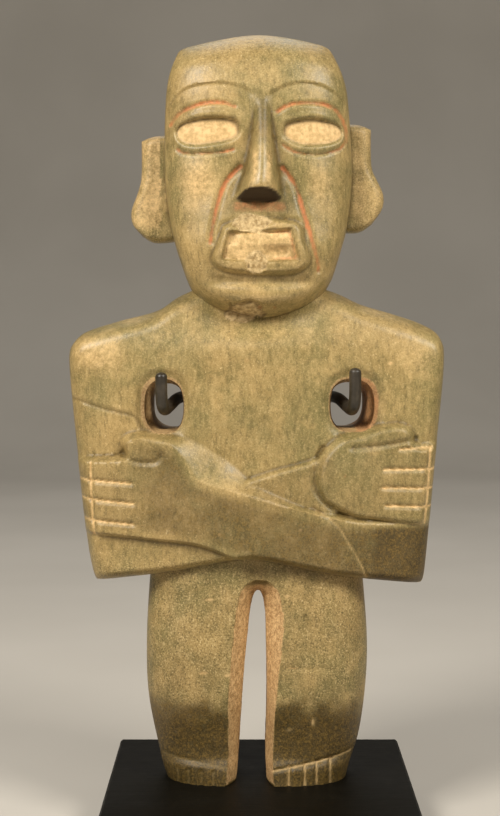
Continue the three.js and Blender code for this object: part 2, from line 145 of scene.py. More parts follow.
# %% Distances
def off_line(x, z, path):
    """Distance to a polyline, positive on its left side: the nearest of the distances to its pieces."""
    best, side = np.full(x.shape, 1e9), np.zeros(x.shape)
    for (ax, az), (bx, bz) in zip(path[:-1], path[1:]):
        dx, dz = bx - ax, bz - az
        t = np.clip(((x - ax) * dx + (z - az) * dz) / (dx * dx + dz * dz), 0, 1)
        gap = np.hypot(x - ax - t * dx, z - az - t * dz)
        side = np.where(gap < best, dx * (z - az) - dz * (x - ax), side)
        best = np.minimum(best, gap)
    return np.where(side < 0, -best, best)


def within(x, z, outline):
    """Depth inside a closed outline, negative outside: the distance to its edge, signed by counting how often
    a ray to the right crosses the edge."""
    ring = np.vstack([outline, outline[:1]])
    odd = np.zeros(x.shape, bool)
    for (ax, az), (bx, bz) in zip(ring[:-1], ring[1:]):
        crosses = (az > z) != (bz > z)
        odd ^= crosses & (x < ax + (z - az) * (bx - ax) / np.where(bz == az, 1e-9, bz - az))
    gap = np.abs(off_line(x, z, ring))
    return np.where(odd, gap, -gap)


def grain(x, y, z, size, seed):
    """A smooth random field between -1 and 1: random numbers on a lattice of that size, blended with eased
    weights between the eight corners around each point."""
    table = np.random.default_rng(seed).uniform(-1, 1, (32, 32, 32))
    places = np.broadcast_arrays(x, y, z)
    cell = [np.floor(c / size).astype(int) for c in places]
    part = [c / size - i for c, i in zip(places, cell)]
    part = [t * t * (3 - 2 * t) for t in part]
    total = 0
    for corner in np.ndindex(2, 2, 2):
        weight = np.prod([t if k else 1 - t for t, k in zip(part, corner)], axis=0)
        total = total + weight * table[tuple((i + k) % 32 for i, k in zip(cell, corner))]
    return total


print("grain reaches", round(float(np.abs(grain(*np.random.default_rng(1).uniform(0, 90, (3, 999)), 7,
    2)).max()), 2))

# %% [markdown]
# ## Drawing tools: the cushion
# Each big form of the figure is a worn block: flat or crowned in front and behind, and rounded off towards
# its outline. Four side curves give the outline in the front view, a Coons patch spreads a grid between
# them, and the depth at each grid point falls off near the edges like a superellipse. The front gets a fine
# grid for the carving. The back is plainer and uses every third point of the same grid, and one ring of
# many-sided faces closes the rim between the two.


# %% The cushion
THIN_EDGE = 0.03


def spread(count, crowding):
    """Fractions from 0 to 1 that lie closer together near both ends: a mix of t and half a cosine wave."""
    t = np.linspace(0, 1, count + 1)
    return t + (0.5 - 0.5 * np.cos(np.pi * t) - t) * crowding


def patch(sides, columns, rows, crowding):
    """Coons patch: the two blends between opposite sides are added, and the blend of the corners is taken off.
    Also gives each point's distance to the four sides."""
    u, v = spread(columns, crowding), spread(rows, crowding)
    bottom, top = smooth_curve(sides["bottom"], u), smooth_curve(sides["top"], u)
    left, right = smooth_curve(sides["left"], v), smooth_curve(sides["right"], v)
    across, up = u[None, :, None], v[:, None, None]
    corners = (1 - up) * ((1 - across) * left[0] + across * right[0])
    corners = corners + up * ((1 - across) * left[-1] + across * right[-1])
    grid = ((1 - up) * bottom[None] + up * top[None] + (1 - across) * left[:, None] + across * right[:, None]
            - corners)
    width = np.linalg.norm(right - left, axis=1)[:, None]
    height = np.linalg.norm(top - bottom, axis=1)[None, :]
    gaps = {"left": u * width, "right": (1 - u) * width, "bottom": v[:, None] * height,
            "top": (1 - v)[:, None] * height}
    return grid[..., 0], grid[..., 1], gaps


def fullness(gaps, edges):
    """How much of the depth is left near the rim: for each side 1 - (1 - distance/radius)^power, to the power
    1/power, all four multiplied."""
    full = 1.0
    for side, (radius, power) in edges.items():
        inside = 1 - np.minimum(gaps[side] / radius, 1)
        full = full * (1 - inside**power) ** (1 / power)
    return THIN_EDGE + (1 - THIN_EDGE) * full


def close_cushion(name, x, z, front, back, every=3):
    """Joins a front sheet and a coarser back sheet over the same grid into one closed body."""
    rows, columns = x.shape
    coarse = (slice(None, None, every), slice(None, None, every))
    place = np.vstack([placed(x, front, z).reshape(-1, 3),
                       placed(x[coarse], back[coarse], z[coarse]).reshape(-1, 3)])
    fine = np.arange(rows * columns).reshape(rows, columns)
    rough = rows * columns + np.arange(x[coarse].size).reshape(x[coarse].shape)

    def quads(grid):
        return np.stack([grid[:-1, :-1], grid[:-1, 1:], grid[1:, 1:], grid[1:, :-1]], axis=-1).reshape(-1, 4)

    def rim(grid):
        return np.concatenate([grid[0, :-1], grid[:-1, -1], grid[-1, :0:-1], grid[:0:-1, 0]])
    fine_rim, rough_rim = rim(fine), rim(rough)
    step = np.arange(len(rough_rim))
    run = (every * step[:, None] + every - np.arange(every + 1)) % len(fine_rim)
    band = np.hstack([fine_rim[run], rough_rim[:, None], np.roll(rough_rim, -1)[:, None]])
    return solid(name, place, quads(fine).tolist() + quads(rough)[:, ::-1].tolist() + band.tolist())


print("spread of 6:", np.round(spread(6, 0.6), 3))

# %% [markdown]
# ## The head: its block and the lines of the face
# The head is a broad, mask-like block. The face is carved in low relief into its front: a brow step, sunken
# eyes with a lid and a ring groove, a wedge nose with a flat underside, folds beside it, and a mouth with a
# raised rim. All of it is one function of the front view, added to the depth of the block, so that the
# carving has no seams. First come the lines, in millimetres from the middle of the figure and its soles.

# %% Lines of the face
head_front = through([[214, 18], [224, 25], [236, 28], [250, 30], [262, 28.5], [276, 26], [300, 25.5],
                      [318, 27], [332, 24], [345, 18], [350, 15]])
head_back = through([[214, 12], [240, 20], [270, 27], [300, 29], [325, 27], [350, 17]])
HEAD_SIDES = {
    "bottom": [[-33, 235], [-28.3, 226.6], [-17, 219], [0.8, 214.2], [20, 219], [30.1, 226.6], [35.6, 235]],
    "right": [[35.6, 235], [39.9, 249.4], [42.8, 261.3], [45, 285], [43.3, 314.5], [41.1, 328.2], [35.8, 341]],
    "top": [[-37.2, 340.2], [-32.1, 344.2], [0, 349.8], [29, 345.4], [35.8, 341]],
    "left": [[-33, 235], [-37.7, 249.4], [-40.5, 261.3], [-43.4, 285], [-42.9, 314.5], [-41.4, 328.2],
             [-37.2, 340.2]],
}
BROW = line([[-44, 310], [-40.4, 315.7], [-35.2, 321.2], [-28.4, 324.1], [-18.2, 325], [-10.4, 324.3],
             [-4.3, 321.9], [0.3, 318.9], [2.7, 318], [11.7, 323.3], [19.9, 325.2], [30.8, 323.8], [39.9, 318],
             [44, 313]], 52)
EYES = [line([[-37.7, 302.6], [-35.5, 306.1], [-29.3, 308.3], [-21.4, 309.2], [-13.4, 308.8], [-9, 307.2],
              [-7.6, 304.6], [-8, 301], [-10.2, 298.9], [-15.2, 297.3], [-21.4, 296.3], [-27.6, 295.8],
              [-32.9, 296.6], [-36.4, 299.1], [-37.7, 302.6]], 56)[:-1],
        line([[11.7, 302.6], [13, 306.1], [18.3, 307.9], [25.4, 308.8], [32.4, 307.9], [37.7, 306.1],
              [39.9, 302.6], [38.6, 299.1], [34.2, 296.9], [27.1, 295.8], [20.1, 296], [14.8, 297.8],
              [12.2, 300], [11.7, 302.6]], 52)[:-1]]
LID_LINES = [line([[-39.7, 306], [-36.4, 310.5], [-30.2, 313.6], [-23.2, 315.4], [-15.2, 315.4],
                   [-10.2, 313.6]]),
             line([[9.5, 311.4], [14.8, 314.5], [21.8, 315.4], [30.7, 315], [36.8, 312.3], [40.4, 307],
                   [41.6, 302.6], [41.4, 298.6]])]
LOW_LINES = [line([[-36.5, 294.6], [-33.7, 293], [-25.8, 292.5], [-17, 292.9], [-10.8, 294.2]]),
             line([[12.1, 296.4], [16.5, 293.4], [23.6, 292], [30.7, 292.5], [37.7, 294.6], [40.4, 297.3]])]
FOLDS = [line([[-7.4, 286.4], [-14.2, 279.2], [-18, 268.6], [-20.1, 258.8], [-21.2, 251.6]]),
         line([[11.7, 285.9], [16.7, 279.2], [18.9, 274.1], [21.4, 265.2], [24.4, 255.4], [27.8, 243.2],
               [28.2, 238.8]])]
MOUTH_RIM = line([[-15.2, 259], [-17.8, 251.5], [-20.4, 243.4], [-15, 238.8], [-1.5, 237.3], [16.6, 237.6],
                  [24.2, 242.6], [21.8, 251.5], [19.4, 260], [9, 262], [0, 262.4], [-9, 261.2], [-15.2, 259]],
                 48)[:-1]
MOUTH_FIELD = np.array([[-12.6, 256], [-15.6, 243.9], [-1, 243], [19.2, 243.6], [15.4, 257.4]])
MOUTH_BAR = np.array([[-9.8, 249.9], [17.5, 249.7], [15.6, 256.2], [-9.6, 255.4]])
MOUTH_SLOT = np.array([[4.6, 245], [13.6, 244.8], [14.8, 246.9], [13.6, 249], [4.6, 248.6]])
print("eye outlines", [len(eye) for eye in EYES], "brow", len(BROW))

# %% [markdown]
# ## The head: the nose and the breaks
# The nose is a wedge that widens and rises downwards, with a narrow ridge and two plain facets, and ends in a
# slanting underside. It is a depth of its own, joined to the face with a small fillet. The three breaks, on
# the upper lip, the lower lip and the chin, are shallow scoops with a ragged edge and a rough floor.

# %% The nose and the breaks
nose_ridge = through([[268, 41], [277, 42], [288, 38.5], [300, 34.2], [310, 30.4], [318, 26.6], [324, 24]])
nose_middle = through([[270, 0.5], [278, 1.6], [285, 2.3], [300, 2.5], [317, 2.6]])
nose_half = through([[270, 13.4], [277, 12.2], [285, 9.8], [300, 6.6], [317, 4.6]])
BREAKS = [([-2.6, 260.2], [9.4, 4.6], 0.1), ([0.4, 241.8], [5.4, 6.4], -0.1), ([-5.4, 219.8], [9.6, 5.0], -3.2)]


def nose_depth(x, z, face):
    """Ridge depth times a profile across: two gentle facets to half of the half width, a steep side and a low
    flare, over a floor behind the face. Under an arched line it slants back to the lip."""
    t = np.abs(x - nose_middle(z)) / nose_half(z)
    facets = np.sqrt(np.minimum(t, 0.5) ** 2 + 0.03) - 0.03 ** 0.5
    profile = 1 - 0.5 * facets - 0.5 * ease(t, 0.42, 0.8) - 0.76 * np.clip(t - 0.6, 0, 0.6)
    body = face - 2 + (nose_ridge(z) - face + 2) * profile
    arch = 275.9 - 4.6 * ((x - 0.8) / 12.6) ** 2
    under = np.clip((z - 270.2) / np.maximum(arch - 270.2, 0.4), 0, 1)
    return np.where(z < arch, face - 1.6 + (body - face + 1.6) * under**0.9, body)


def broken(x, z, centre, half):
    """1 well inside a break, 0 outside: an ellipse with a ragged edge from two random fields."""
    ragged = 0.22 * grain(x, z, 0 * x, 3.3, 5) + 0.12 * grain(x, z, 0 * x, 1.5, 6)
    return ease(1.0 - np.hypot((x - centre[0]) / half[0], (z - centre[1]) / half[1]) + ragged, -0.08, 0.24)


print("nose tip stands", float(nose_ridge(277) - head_front(277)), "mm off the face")


# %% Relief of the face
def mouth_relief(x, z):
    """A rounded rim, a shallow field inside it, a bar across its upper half and a short slot below."""
    rim, field = within(x, z, MOUTH_RIM), within(x, z, MOUTH_FIELD)
    inside = ease(field, -0.2, 1.0)
    relief = 2.7 * ease(rim, -0.6, 1.9) - 0.7 * swell(rim + 0.9, 1.7) - 3.0 * ease(field, -1.1, 0.9)
    relief = relief + 1.2 * ease(within(x, z, MOUTH_BAR), -0.4, 1.1) * inside
    left_block = np.array([[-15, 243], [4, 243], [4, 251], [-14, 251]])
    relief = relief + 0.9 * ease(within(x, z, left_block), -0.3, 1.4) * inside
    relief = relief - 0.9 * ease(within(x, z, MOUTH_SLOT), -0.3, 1.0)
    under_lip = np.exp(-((z - 234.2) / 2.8) ** 2) * ease(27 - np.abs(x - 2), 0, 10)
    return relief - 2.2 * under_lip + 1.5 * np.exp(-((x - 2) / 17) ** 2 - ((z - 226) / 5.5) ** 2)


def face_relief(x, z):
    """Sum of the carved steps and grooves of the face, in millimetres: each is an eased step or a swell of the
    distance to its line. A break pulls the surface to its own level, with a rough floor."""
    below = -off_line(x, z, BROW)
    relief = -1.1 * ease(below, -0.3, 0.8) * (1 - ease(below, 6.5, 13)) * ease(np.abs(x - 1.8), 1.5, 6)
    for eye, lid, low in zip(EYES, LID_LINES, LOW_LINES):
        inside = within(x, z, eye)
        relief = relief - (1.3 + 0.8 * ease(z, 301, 308)) * ease(inside, -0.3, 0.9)
        relief = relief + 0.4 * ease(-inside, -0.2, 0.9) * (1 - ease(-inside, 1.4, 3.2))
        relief = relief - 1.2 * swell(off_line(x, z, lid), 1.7) - 0.9 * swell(off_line(x, z, low), 1.5)
    for fold in FOLDS:
        relief = relief - 1.5 * swell(off_line(x, z, fold), 2.2)
    relief = relief + mouth_relief(x, z)
    relief = relief + 1.0 * np.exp(-((np.abs(x) - 27) / 9) ** 2 - ((z - 284) / 7) ** 2)
    relief = relief - 1.1 * np.exp(-((np.abs(x) - 30) / 8) ** 2 - ((z - 261) / 12) ** 2)
    rough = 0.6 * grain(x, z, 0 * x, 2.3, 8) + 0.35 * grain(x, z, 0 * x, 1.2, 9)
    for centre, half, level in BREAKS:
        relief = relief + broken(x, z, centre, half) * (level + rough - relief)
    return relief


def head_block():
    """Block depth times fullness, plus the relief where the block isn't turning away, with the nose joined."""
    x, z, gaps = patch(HEAD_SIDES, 132, 204, 0.6)
    full = fullness(gaps, {"left": (42, 2.7), "right": (42, 2.7), "bottom": (13, 2.2), "top": (15, 2.2)})
    front = head_front(z) * full
    nosed = soft_max(nose_depth(x, z, head_front(z)), front, 1.2)
    nosed = np.where((np.abs(x - 1) < 18) & (z > 266) & (z < 326), nosed, front)
    on_nose = ease(nosed - front, 0.8, 3.0)
    front = nosed + face_relief(x, z) * ease(full, 0.1, 0.5) * (1 - 0.9 * on_nose)
    front = front + 0.22 * grain(x, z, 0 * x, 13, 11) * full
    back = -head_back(z) * full + 0.25 * grain(x, z, 0 * x + 9, 15, 12) * full
    return close_cushion("head", x, z, front, back)


head = head_block()
print("head:", len(head.data.polygons), "faces")

# %% [markdown]
# ## The ears and the neck
# The ears are flat flanges set well back from the face, each with a round lobe below. They are cushions of
# their own, sunk into the sides of the head, which leaves the sharp inner corner that the real ones have.
# The neck is a short column behind the chin: it fills the crease between the back of the head and the
# shoulders.

# %% Ears and neck
LEFT_EAR_SIDES = {
    "bottom": [[-54, 255.4], [-47, 252.2], [-30, 254]],
    "right": [[-30, 254], [-30, 303]],
    "top": [[-54.5, 300.5], [-47, 303], [-30, 303]],
    "left": [[-54, 255.4], [-58.6, 261], [-59.4, 267.5], [-56.4, 276], [-54.6, 284], [-54.5, 300.5]],
}
RIGHT_EAR_SIDES = {
    "bottom": [[31, 258], [47, 257], [54.5, 261]],
    "right": [[54.5, 261], [59.4, 268], [60.2, 275], [57, 282.5], [54.5, 289], [54.2, 306]],
    "top": [[31, 308.4], [47, 308.4], [54.2, 306]],
    "left": [[31, 258], [31, 308.4]],
}


def ear(name, sides, seed):
    """A flat cushion between two set depths, with a faint random waviness."""
    x, z, gaps = patch(sides, 30, 54, 0.6)
    full = fullness(gaps, {"left": (5, 2), "right": (5, 2), "bottom": (5, 2), "top": (4, 2)})
    wave = 0.3 * grain(x, z, 0 * x, 9, seed) * full
    return close_cushion(name, x, z, -3.5 + 6.5 * full + wave, -3.5 - 6.5 * full + wave)


NECK_SIDES = {
    "bottom": [[-30, 204], [30, 204]],
    "right": [[30, 204], [25, 226], [30, 250]],
    "top": [[-30, 250], [30, 250]],
    "left": [[-30, 204], [-25, 226], [-30, 250]],
}


def neck_block():
    """A short column behind the chin that carries the back of the head into the shoulders."""
    x, z, gaps = patch(NECK_SIDES, 36, 48, 0.3)
    full = fullness(gaps, {"left": (18, 2.2), "right": (18, 2.2)})
    return close_cushion("neck", x, z, 8 * full, -(19 - 1.5 * np.sin((z - 204) / 46 * np.pi)) * full)


neck = neck_block()
ears = [ear("left_ear", LEFT_EAR_SIDES, 21), ear("right_ear", RIGHT_EAR_SIDES, 22)]
print("ears:", [len(lobe.data.polygons) for lobe in ears], "faces")

# %% [markdown]
# ## The trunk: chest, crossed arms and hands
# The trunk is a flat slab. The arms are raised layers on it: the far arm lies lowest, the near arm crosses
# over it, and each hand lies on the other elbow, with its fingers cut in as straight grooves. A layer is a
# height over the slab that ramps up between its foot line and its arris, so that wide bevels and steep steps
# come from the same formula.

# %% Lines of the trunk
chest_front = through([[92, 22], [120, 23], [150, 21.5], [175, 22.5], [200, 22], [215, 19], [232, 14],
                       [242, 12]])
far_arm_height = through([[-78, 1.5], [-40, 3], [0, 3.2], [36, 3.6]])
near_arm_height = through([[-84, 5], [-40, 6.5], [0, 7.5], [40, 5.5], [80, 1.5]])
TRUNK_SIDES = {
    "bottom": [[-76, 93], [-40, 97.5], [-8, 103], [4, 103], [38, 96], [78, 91.5]],
    "right": [[78, 91.5], [79.8, 101.1], [84, 147.8], [87.6, 184.7], [88.6, 203]],
    "top": [[-87.1, 204.3], [-81, 210], [-65, 215.3], [-46.6, 220.4], [-33.2, 228.5], [0, 240], [34.9, 229.5],
            [49.1, 223.2], [63.8, 218.8], [76, 214.7], [84.7, 210], [88.6, 203]],
    "left": [[-76, 93], [-79.8, 111.1], [-85.3, 160.1], [-88.4, 195.7], [-87.1, 204.3]],
}
NEAR_FOOT = np.vstack([line([[-96, 114], [-77, 115.4], [-46, 112.8], [-26, 110.4], [-9.6, 104], [-3, 101],
                             [0, 96], [10, 84]]),
                       np.array([[96, 84], [96, 124.6]]),
                       line([[79, 124.6], [50, 125.2], [26, 130.2], [14.1, 135.7], [4, 141.6], [-3.9, 142.6]]),
                       line([[-12.1, 151.4], [-15.1, 153.5], [-22.9, 158.1], [-32.1, 161.8], [-44, 163.8],
                             [-56, 165], [-62, 162.6], [-63.6, 158.4], [-61.4, 154.4], [-72, 153.4],
                             [-96, 152.8]])])
NEAR_TOP = np.vstack([line([[-96, 117], [-77, 118.4], [-46, 115.6], [-26, 113.2], [-9.6, 106.8], [0, 103.6],
                            [16, 96]]),
                      np.array([[96, 90], [96, 121.6]]),
                      line([[79, 121.8], [50, 122.4], [24.4, 127.6], [-3.9, 135.6], [-13.1, 138.4],
                            [-25.4, 141.7], [-29.6, 145.3], [-33.5, 152], [-40, 159.4], [-50, 161.4],
                            [-57.6, 161], [-60.4, 158.2], [-58, 154], [-64, 150.8], [-96, 150]])])
FAR_FOOT = np.vstack([line([[-96, 84], [0, 84], [20, 112], [38, 127]]), np.array([[40, 164]]),
                      line([[40, 162], [36, 160], [30.8, 156.8], [26.1, 151.6], [10, 147], [-4.8, 142.4],
                            [-45, 129.5], [-96, 114]])])
FAR_HAND = line([[30, 131], [38.5, 127], [51.7, 123], [96, 122.4], [96, 158.2], [76, 158.6], [73.4, 161.6],
                 [72.4, 165], [69, 168], [62, 168.2], [47.5, 165.8], [37, 161.6], [29, 153], [26.4, 142],
                 [30, 131]], 56)[:-1]
THUMB_LINES = [line([[-62.4, 154.6], [-57, 151.2], [-47, 150.6], [-44, 154]]),
               line([[44, 157.2], [58, 158.4], [66, 159.6], [74, 161.4]]),
               line([[30.5, 157], [26.4, 148], [27.6, 137], [36, 128.4]])]
FINGERS = [line(points) for points in (
    [[-90, 142.8], [-57.9, 140.8]], [[-90, 134.4], [-56.9, 131.5]], [[-90, 124.8], [-56.9, 122]],
    [[-76.8, 150], [-76.4, 134], [-75.2, 117]],
    [[58.6, 147.2], [90, 147]], [[58, 138.8], [90, 137.9]], [[59.4, 130.5], [90, 129.2]],
    [[66, 156.4], [81.4, 157.2]], [[80.4, 157], [79.6, 140], [78, 122.6]])]
CRACKS = [line([[25.7, 129.9], [36.4, 122.4], [41.7, 114.3], [47.1, 105.2], [50.8, 97]]),
          line([[-90, 179.6], [-84, 179.3], [-72, 175.4], [-64.6, 173.7], [-56.4, 171.3], [-53, 165.5]])]
HOLES = [[[26, -43.6, 176.6, 10.4, 13.8], [8, -41.8, 175.4, 7.8, 10.8], [-28, -38.6, 175.6, 11.4, 12]],
         [[26, 45, 177, 12, 13.4], [8, 43.2, 176, 8.8, 10.8], [-28, 40, 176, 11.6, 12]]]
print("arm outlines", len(NEAR_FOOT), len(NEAR_TOP), len(FAR_FOOT))


# %% Relief of the trunk
def slab(x, z):
    """Chest depth by height, falling away with the square of the distance from the middle, with a faint keel
    and a hollow under the chin."""
    neck = 6 * np.exp(-((x / 23) ** 2)) * ease(z, 203, 218)
    return chest_front(z) - 5 * (x / 88) ** 2 - 0.012 * np.abs(x + 5) - neck


def raised(inside, width):
    """Ramp of a layer from its foot line, 0 at the line and 1 at width inside it, rounded at the top."""
    return np.sin(0.5 * np.pi * np.clip((inside + 0.3) / (width + 0.3), 0, 1)) ** 0.9


def around_hole(x, z, rings):
    """1 on the edge of a hole's mouth, more outside: the superellipse |x|^2.67 + |z|^2.67."""
    _, cx, cz, hx, hz = rings[0]
    return (np.abs((x - cx) / hx) ** 2.667 + np.abs((z - cz) / hz) ** 2.667) ** 0.375


def trunk_relief(x, z):
    """The highest of the layers, less the finger grooves, the cracks and the dished mouths of the holes."""
    foot, top = within(x, z, NEAR_FOOT), within(x, z, NEAR_TOP)
    ratio = np.clip(foot, 0, None) / (np.clip(foot, 0, None) + np.clip(-top, 0, None) + 1e-6)
    near = near_arm_height(x) * ratio
    over = within(x, z, FAR_FOOT)
    flute = -1.8 * swell(over, 10) * ease(x, -12, 2) * ease(158 - z, 0, 6)
    far = far_arm_height(x) * raised(over, 2.4)
    dome = 5.0 + 3.2 * np.exp(-(((x - 44) / 14) ** 2) - ((z - 144) / 13) ** 2)
    hand = dome * raised(within(x, z, FAR_HAND), 4.0)
    height = soft_max(soft_max(far + flute * (over < 0), near, 0.5), hand, 0.8)
    for thumb in THUMB_LINES:
        height = height - 1.2 * swell(off_line(x, z, thumb), 2.0)
    for finger in FINGERS:
        height = height - 1.2 * swell(off_line(x, z, finger), 1.6)
    for crack in CRACKS:
        height = height - 0.8 * swell(off_line(x, z, crack), 1.3)
    for rings in HOLES:
        height = height - 1.8 * (1 - ease(around_hole(x, z, rings), 0.95, 1.3))
    return height


def trunk_block():
    """Slab plus relief, times the fullness near the rim."""
    x, z, gaps = patch(TRUNK_SIDES, 204, 162, 0.35)
    full = fullness(gaps, {"left": (11, 2.5), "right": (11, 2.5), "bottom": (6, 2.2), "top": (10, 2.2)})
    front = (slab(x, z) + trunk_relief(x, z) + 0.25 * grain(x, z, 0 * x, 16, 31)) * full
    back = -(25 - 6 * (x / 88) ** 2) * full + 0.3 * grain(x, z, 0 * x + 9, 18, 32) * full
    return close_cushion("trunk", x, z, front, back)


trunk = trunk_block()
print("trunk:", len(trunk.data.polygons), "faces")

# %% [markdown]
# ## The legs
# The lower body is one short block under the arms. Its lower part turns under, and the toes are short cuts
# below a shallow line. The slot that parts the legs was sawn upwards from the soles, so it comes later, as a cutter.

# %% Legs
leg_front = through([[0, 23.6], [8, 22.8], [12, 20.6], [24, 21.4], [40, 24.4], [62, 24], [86, 21], [108, 19]])
leg_back = through([[0, 20], [12, 17], [40, 19], [70, 23], [108, 24]])
LEG_SIDES = {
    "bottom": [[-42.5, 0], [42.6, 0]],
    "right": [[42.6, 0], [44.6, 7.6], [48.9, 21.1], [51.8, 42.3], [52.6, 63.5], [51, 88], [49, 108]],
    "top": [[-49, 108], [49, 108]],
    "left": [[-42.5, 0], [-45.7, 10.1], [-51.3, 38], [-52.2, 64.1], [-50.8, 92], [-49, 108]],
}
TOE_EDGES = [line([[-44, 12.6], [-28, 10.4], [-11, 7.6]]), line([[6, 6.6], [24, 9.8], [46, 13.8]])]
TOE_CUTS = [line([[x, -1], [x, top]]) for x, top in (
    (-36.8, 7.2), (-31.7, 6.8), (-25.6, 6.6), (-20.1, 6.2), (15, 8.6), (22.3, 9.4), (27.8, 10.2), (34.3, 11.2))]
KNEE_LINE = line([[13, 55.6], [24, 55.2], [35, 54.2]])


def leg_block():
    """The leg profile front and back, less the toe cuts, the line above them and a faint knee line."""
    x, z, gaps = patch(LEG_SIDES, 117, 117, 0.3)
    full = fullness(gaps, {"left": (28, 2.3), "right": (28, 2.3)})
    relief = (0.35 * grain(x, z, 0 * x, 14, 41) + 0.12 * grain(x, z, 0 * x, 5, 43)
              - 0.5 * swell(off_line(x, z, KNEE_LINE), 1.5))
    for edge in TOE_EDGES:
        relief = relief - (0.4 if edge[0, 0] < 0 else 0.9) * swell(off_line(x, z, edge), 1.5)
    for cut in TOE_CUTS:
        relief = relief - (1.0 if cut[0, 0] < 0 else 1.2) * swell(off_line(x, z, cut), 1.5)
    wave = 0.3 * grain(x, z, 0 * x + 9, 16, 42)
    return close_cushion("legs", x, z, (leg_front(z) + relief) * full, (wave - leg_back(z)) * full)


legs = leg_block()
print("legs:", len(legs.data.polygons), "faces")

# %% [markdown]
# ## The armpit holes and the slot between the legs
# The holes were drilled from both faces with a wet abrasive, so they are wider at the front and the back than
# in the middle. The slot was sawn and its edges were ground back to broad bevels. Each cutter is a ring in the
# front view carried through the slab: the ring's size follows the depth, and both ends are closed.


# %% Cutters
def tube(name, x, depth, z):
    """Closed body from rings of points, one row to a depth, going round anticlockwise in the front view."""
    index = np.arange(x.size).reshape(x.shape)
    after = np.roll(index, -1, axis=1)
    walls = np.stack([index[:-1], index[1:], after[1:], after[:-1]], axis=-1).reshape(-1, 4)
    return solid(name, placed(x, depth + 0 * x, z),
                 walls.tolist() + [index[0].tolist(), index[-1, ::-1].tolist()])


def hole_cutter(name, rings):
    """A ring for each depth: middle plus half size times cosine and sine to the power 0.75, signs kept."""
    depth = np.linspace(40, -40, 61)[:, None]
    turn = np.linspace(0, 2 * np.pi, 56, endpoint=False)[None, :]
    cx, cz, hx, hz = (through([[r[0], r[k]] for r in rings[::-1]])(depth) for k in (1, 2, 3, 4))
    rough = 1 + 0.025 * grain(np.cos(turn) * 9, np.sin(turn) * 9, depth, 4, 51)
    x = cx + hx * rough * np.sign(np.cos(turn)) * np.abs(np.cos(turn)) ** 0.75
    z = cz + hz * rough * np.sign(np.sin(turn)) * np.abs(np.sin(turn)) ** 0.75
    return tube(name, x, depth, z)


SLOT = line([[5.6, -8], [4.2, 10.6], [4.8, 40], [4.3, 73.5], [3.6, 82], [2.4, 87], [0.7, 88.8], [-1.2, 87],
             [-2.8, 81], [-4.2, 69.4], [-6.2, 48.3], [-8.8, 8], [-10.8, -8]], 240)


def slot_cutter():
    """The slot's outline, pushed outwards along its own normal by the bevel: broad in front, narrow behind."""
    depth = np.linspace(34, -34, 61)[:, None]
    ahead = np.gradient(SLOT, axis=0)
    ahead = ahead / np.linalg.norm(ahead, axis=1)[:, None]
    left, right = 5.1 + 1.6 * ease(SLOT[:, 1], 20, 45), 3.3 + 5.5 * ease(SLOT[:, 1], 25, 82)
    bevel = left + (right - left) * ease(SLOT[:, 0], -3, 4)
    open_front = np.clip((depth - leg_front(SLOT[:, 1])[None, :] + 13) / 13, 0, 1.6) ** 1.5
    open_back = 0.5 * np.clip((-depth - 10) / 12, 0, 1.5) ** 1.5
    rough = 0.3 * grain(SLOT[None, :, 0], SLOT[None, :, 1], depth, 3.5, 52)
    push = bevel[None, :] * (open_front + open_back) + 0.4 * rough
    return tube("slot_cutter", SLOT[None, :, 0] + ahead[None, :, 1] * push, depth,
                SLOT[None, :, 1] - ahead[None, :, 0] * push)


cutters = [hole_cutter(f"hole_cutter_{i}", rings) for i, rings in enumerate(HOLES)]
sawn_slot = slot_cutter()
print("cutters:", [len(cutter.data.polygons) for cutter in cutters + [sawn_slot]], "faces")

# %% [markdown]
# ## One stone
# The real figure is a single piece of stone, so the blocks are joined into one closed body and the holes are
# cut from it. Boolean modifiers do this exactly, and their result is kept as a plain mesh.


# %% Join the stone
def carve(body, operation, tool):
    """Applies one boolean between two closed bodies and removes the tool."""
    step = body.modifiers.new(operation, "BOOLEAN")
    step.operation, step.solver, step.object = operation, "MANIFOLD", tool
    made = bpy.data.meshes.new_from_object(body.evaluated_get(bpy.context.evaluated_depsgraph_get()))
    body.modifiers.clear()
    body.data = made
    bpy.data.objects.remove(tool)


figurine = trunk
figurine.name = "carved_figure"
for cutter in cutters:
    carve(figurine, "DIFFERENCE", cutter)
carve(legs, "DIFFERENCE", sawn_slot)
for block in [legs, neck, head] + ears:
    carve(figurine, "UNION", block)
figurine.data.name = "carved_figure"
figurine.data.calc_loop_triangles()
print("carved figure:", len(figurine.data.vertices), "points,", len(figurine.data.loop_triangles), "triangles")

# %% [markdown]
# ## Where the stone is worn, stained and painted, and where light and shade are painted on
# Old red pigment is left in the grooves of the face and pale earth sits in the eyes. The lamps' light and shade
# are painted into the colour too: pale on the front-facing arrises, worn and with a painted highlight, painted
# highlights on the nose facets, the chin, the cheeks and the shoulders, and painted shade in the hollows, under the
# nose, in the holes, on faces turned away and on the turned-under lower legs. These follow the carving, so they
# are worked out from the same lines and stored on the mesh as two colour attributes that the stone's material reads.


# %% Read the finished surface
def surface(mesh):
    """Points in the figure frame, normals, and how hollow the surface is: the mean of the neighbours, measured
    along the normal and spread over a few rings of neighbours."""
    count = len(mesh.vertices)
    place, normal = np.empty(count * 3), np.empty(count * 3)
    mesh.vertices.foreach_get("co", place)
    mesh.vertices.foreach_get("normal", normal)
    place, normal = place.reshape(-1, 3) * 1000, normal.reshape(-1, 3)
    pairs = np.empty(len(mesh.edges) * 2, int)
    mesh.edges.foreach_get("vertices", pairs)
    a, b = pairs.reshape(-1, 2).T
    ends, others = np.concatenate([a, b]), np.concatenate([b, a])
    number = np.bincount(ends, minlength=count)

    def around(values):
        return np.bincount(ends, weights=values[others], minlength=count) / np.maximum(number, 1)
    lean = sum((around(place[:, k]) - place[:, k]) * normal[:, k] for k in range(3))
    for _ in range(3):
        lean = 0.5 * lean + 0.5 * around(lean)
    return place[:, 0] - FIGURE_X, FIGURE_Y - place[:, 1], place[:, 2] - BASE_HEIGHT, normal, lean


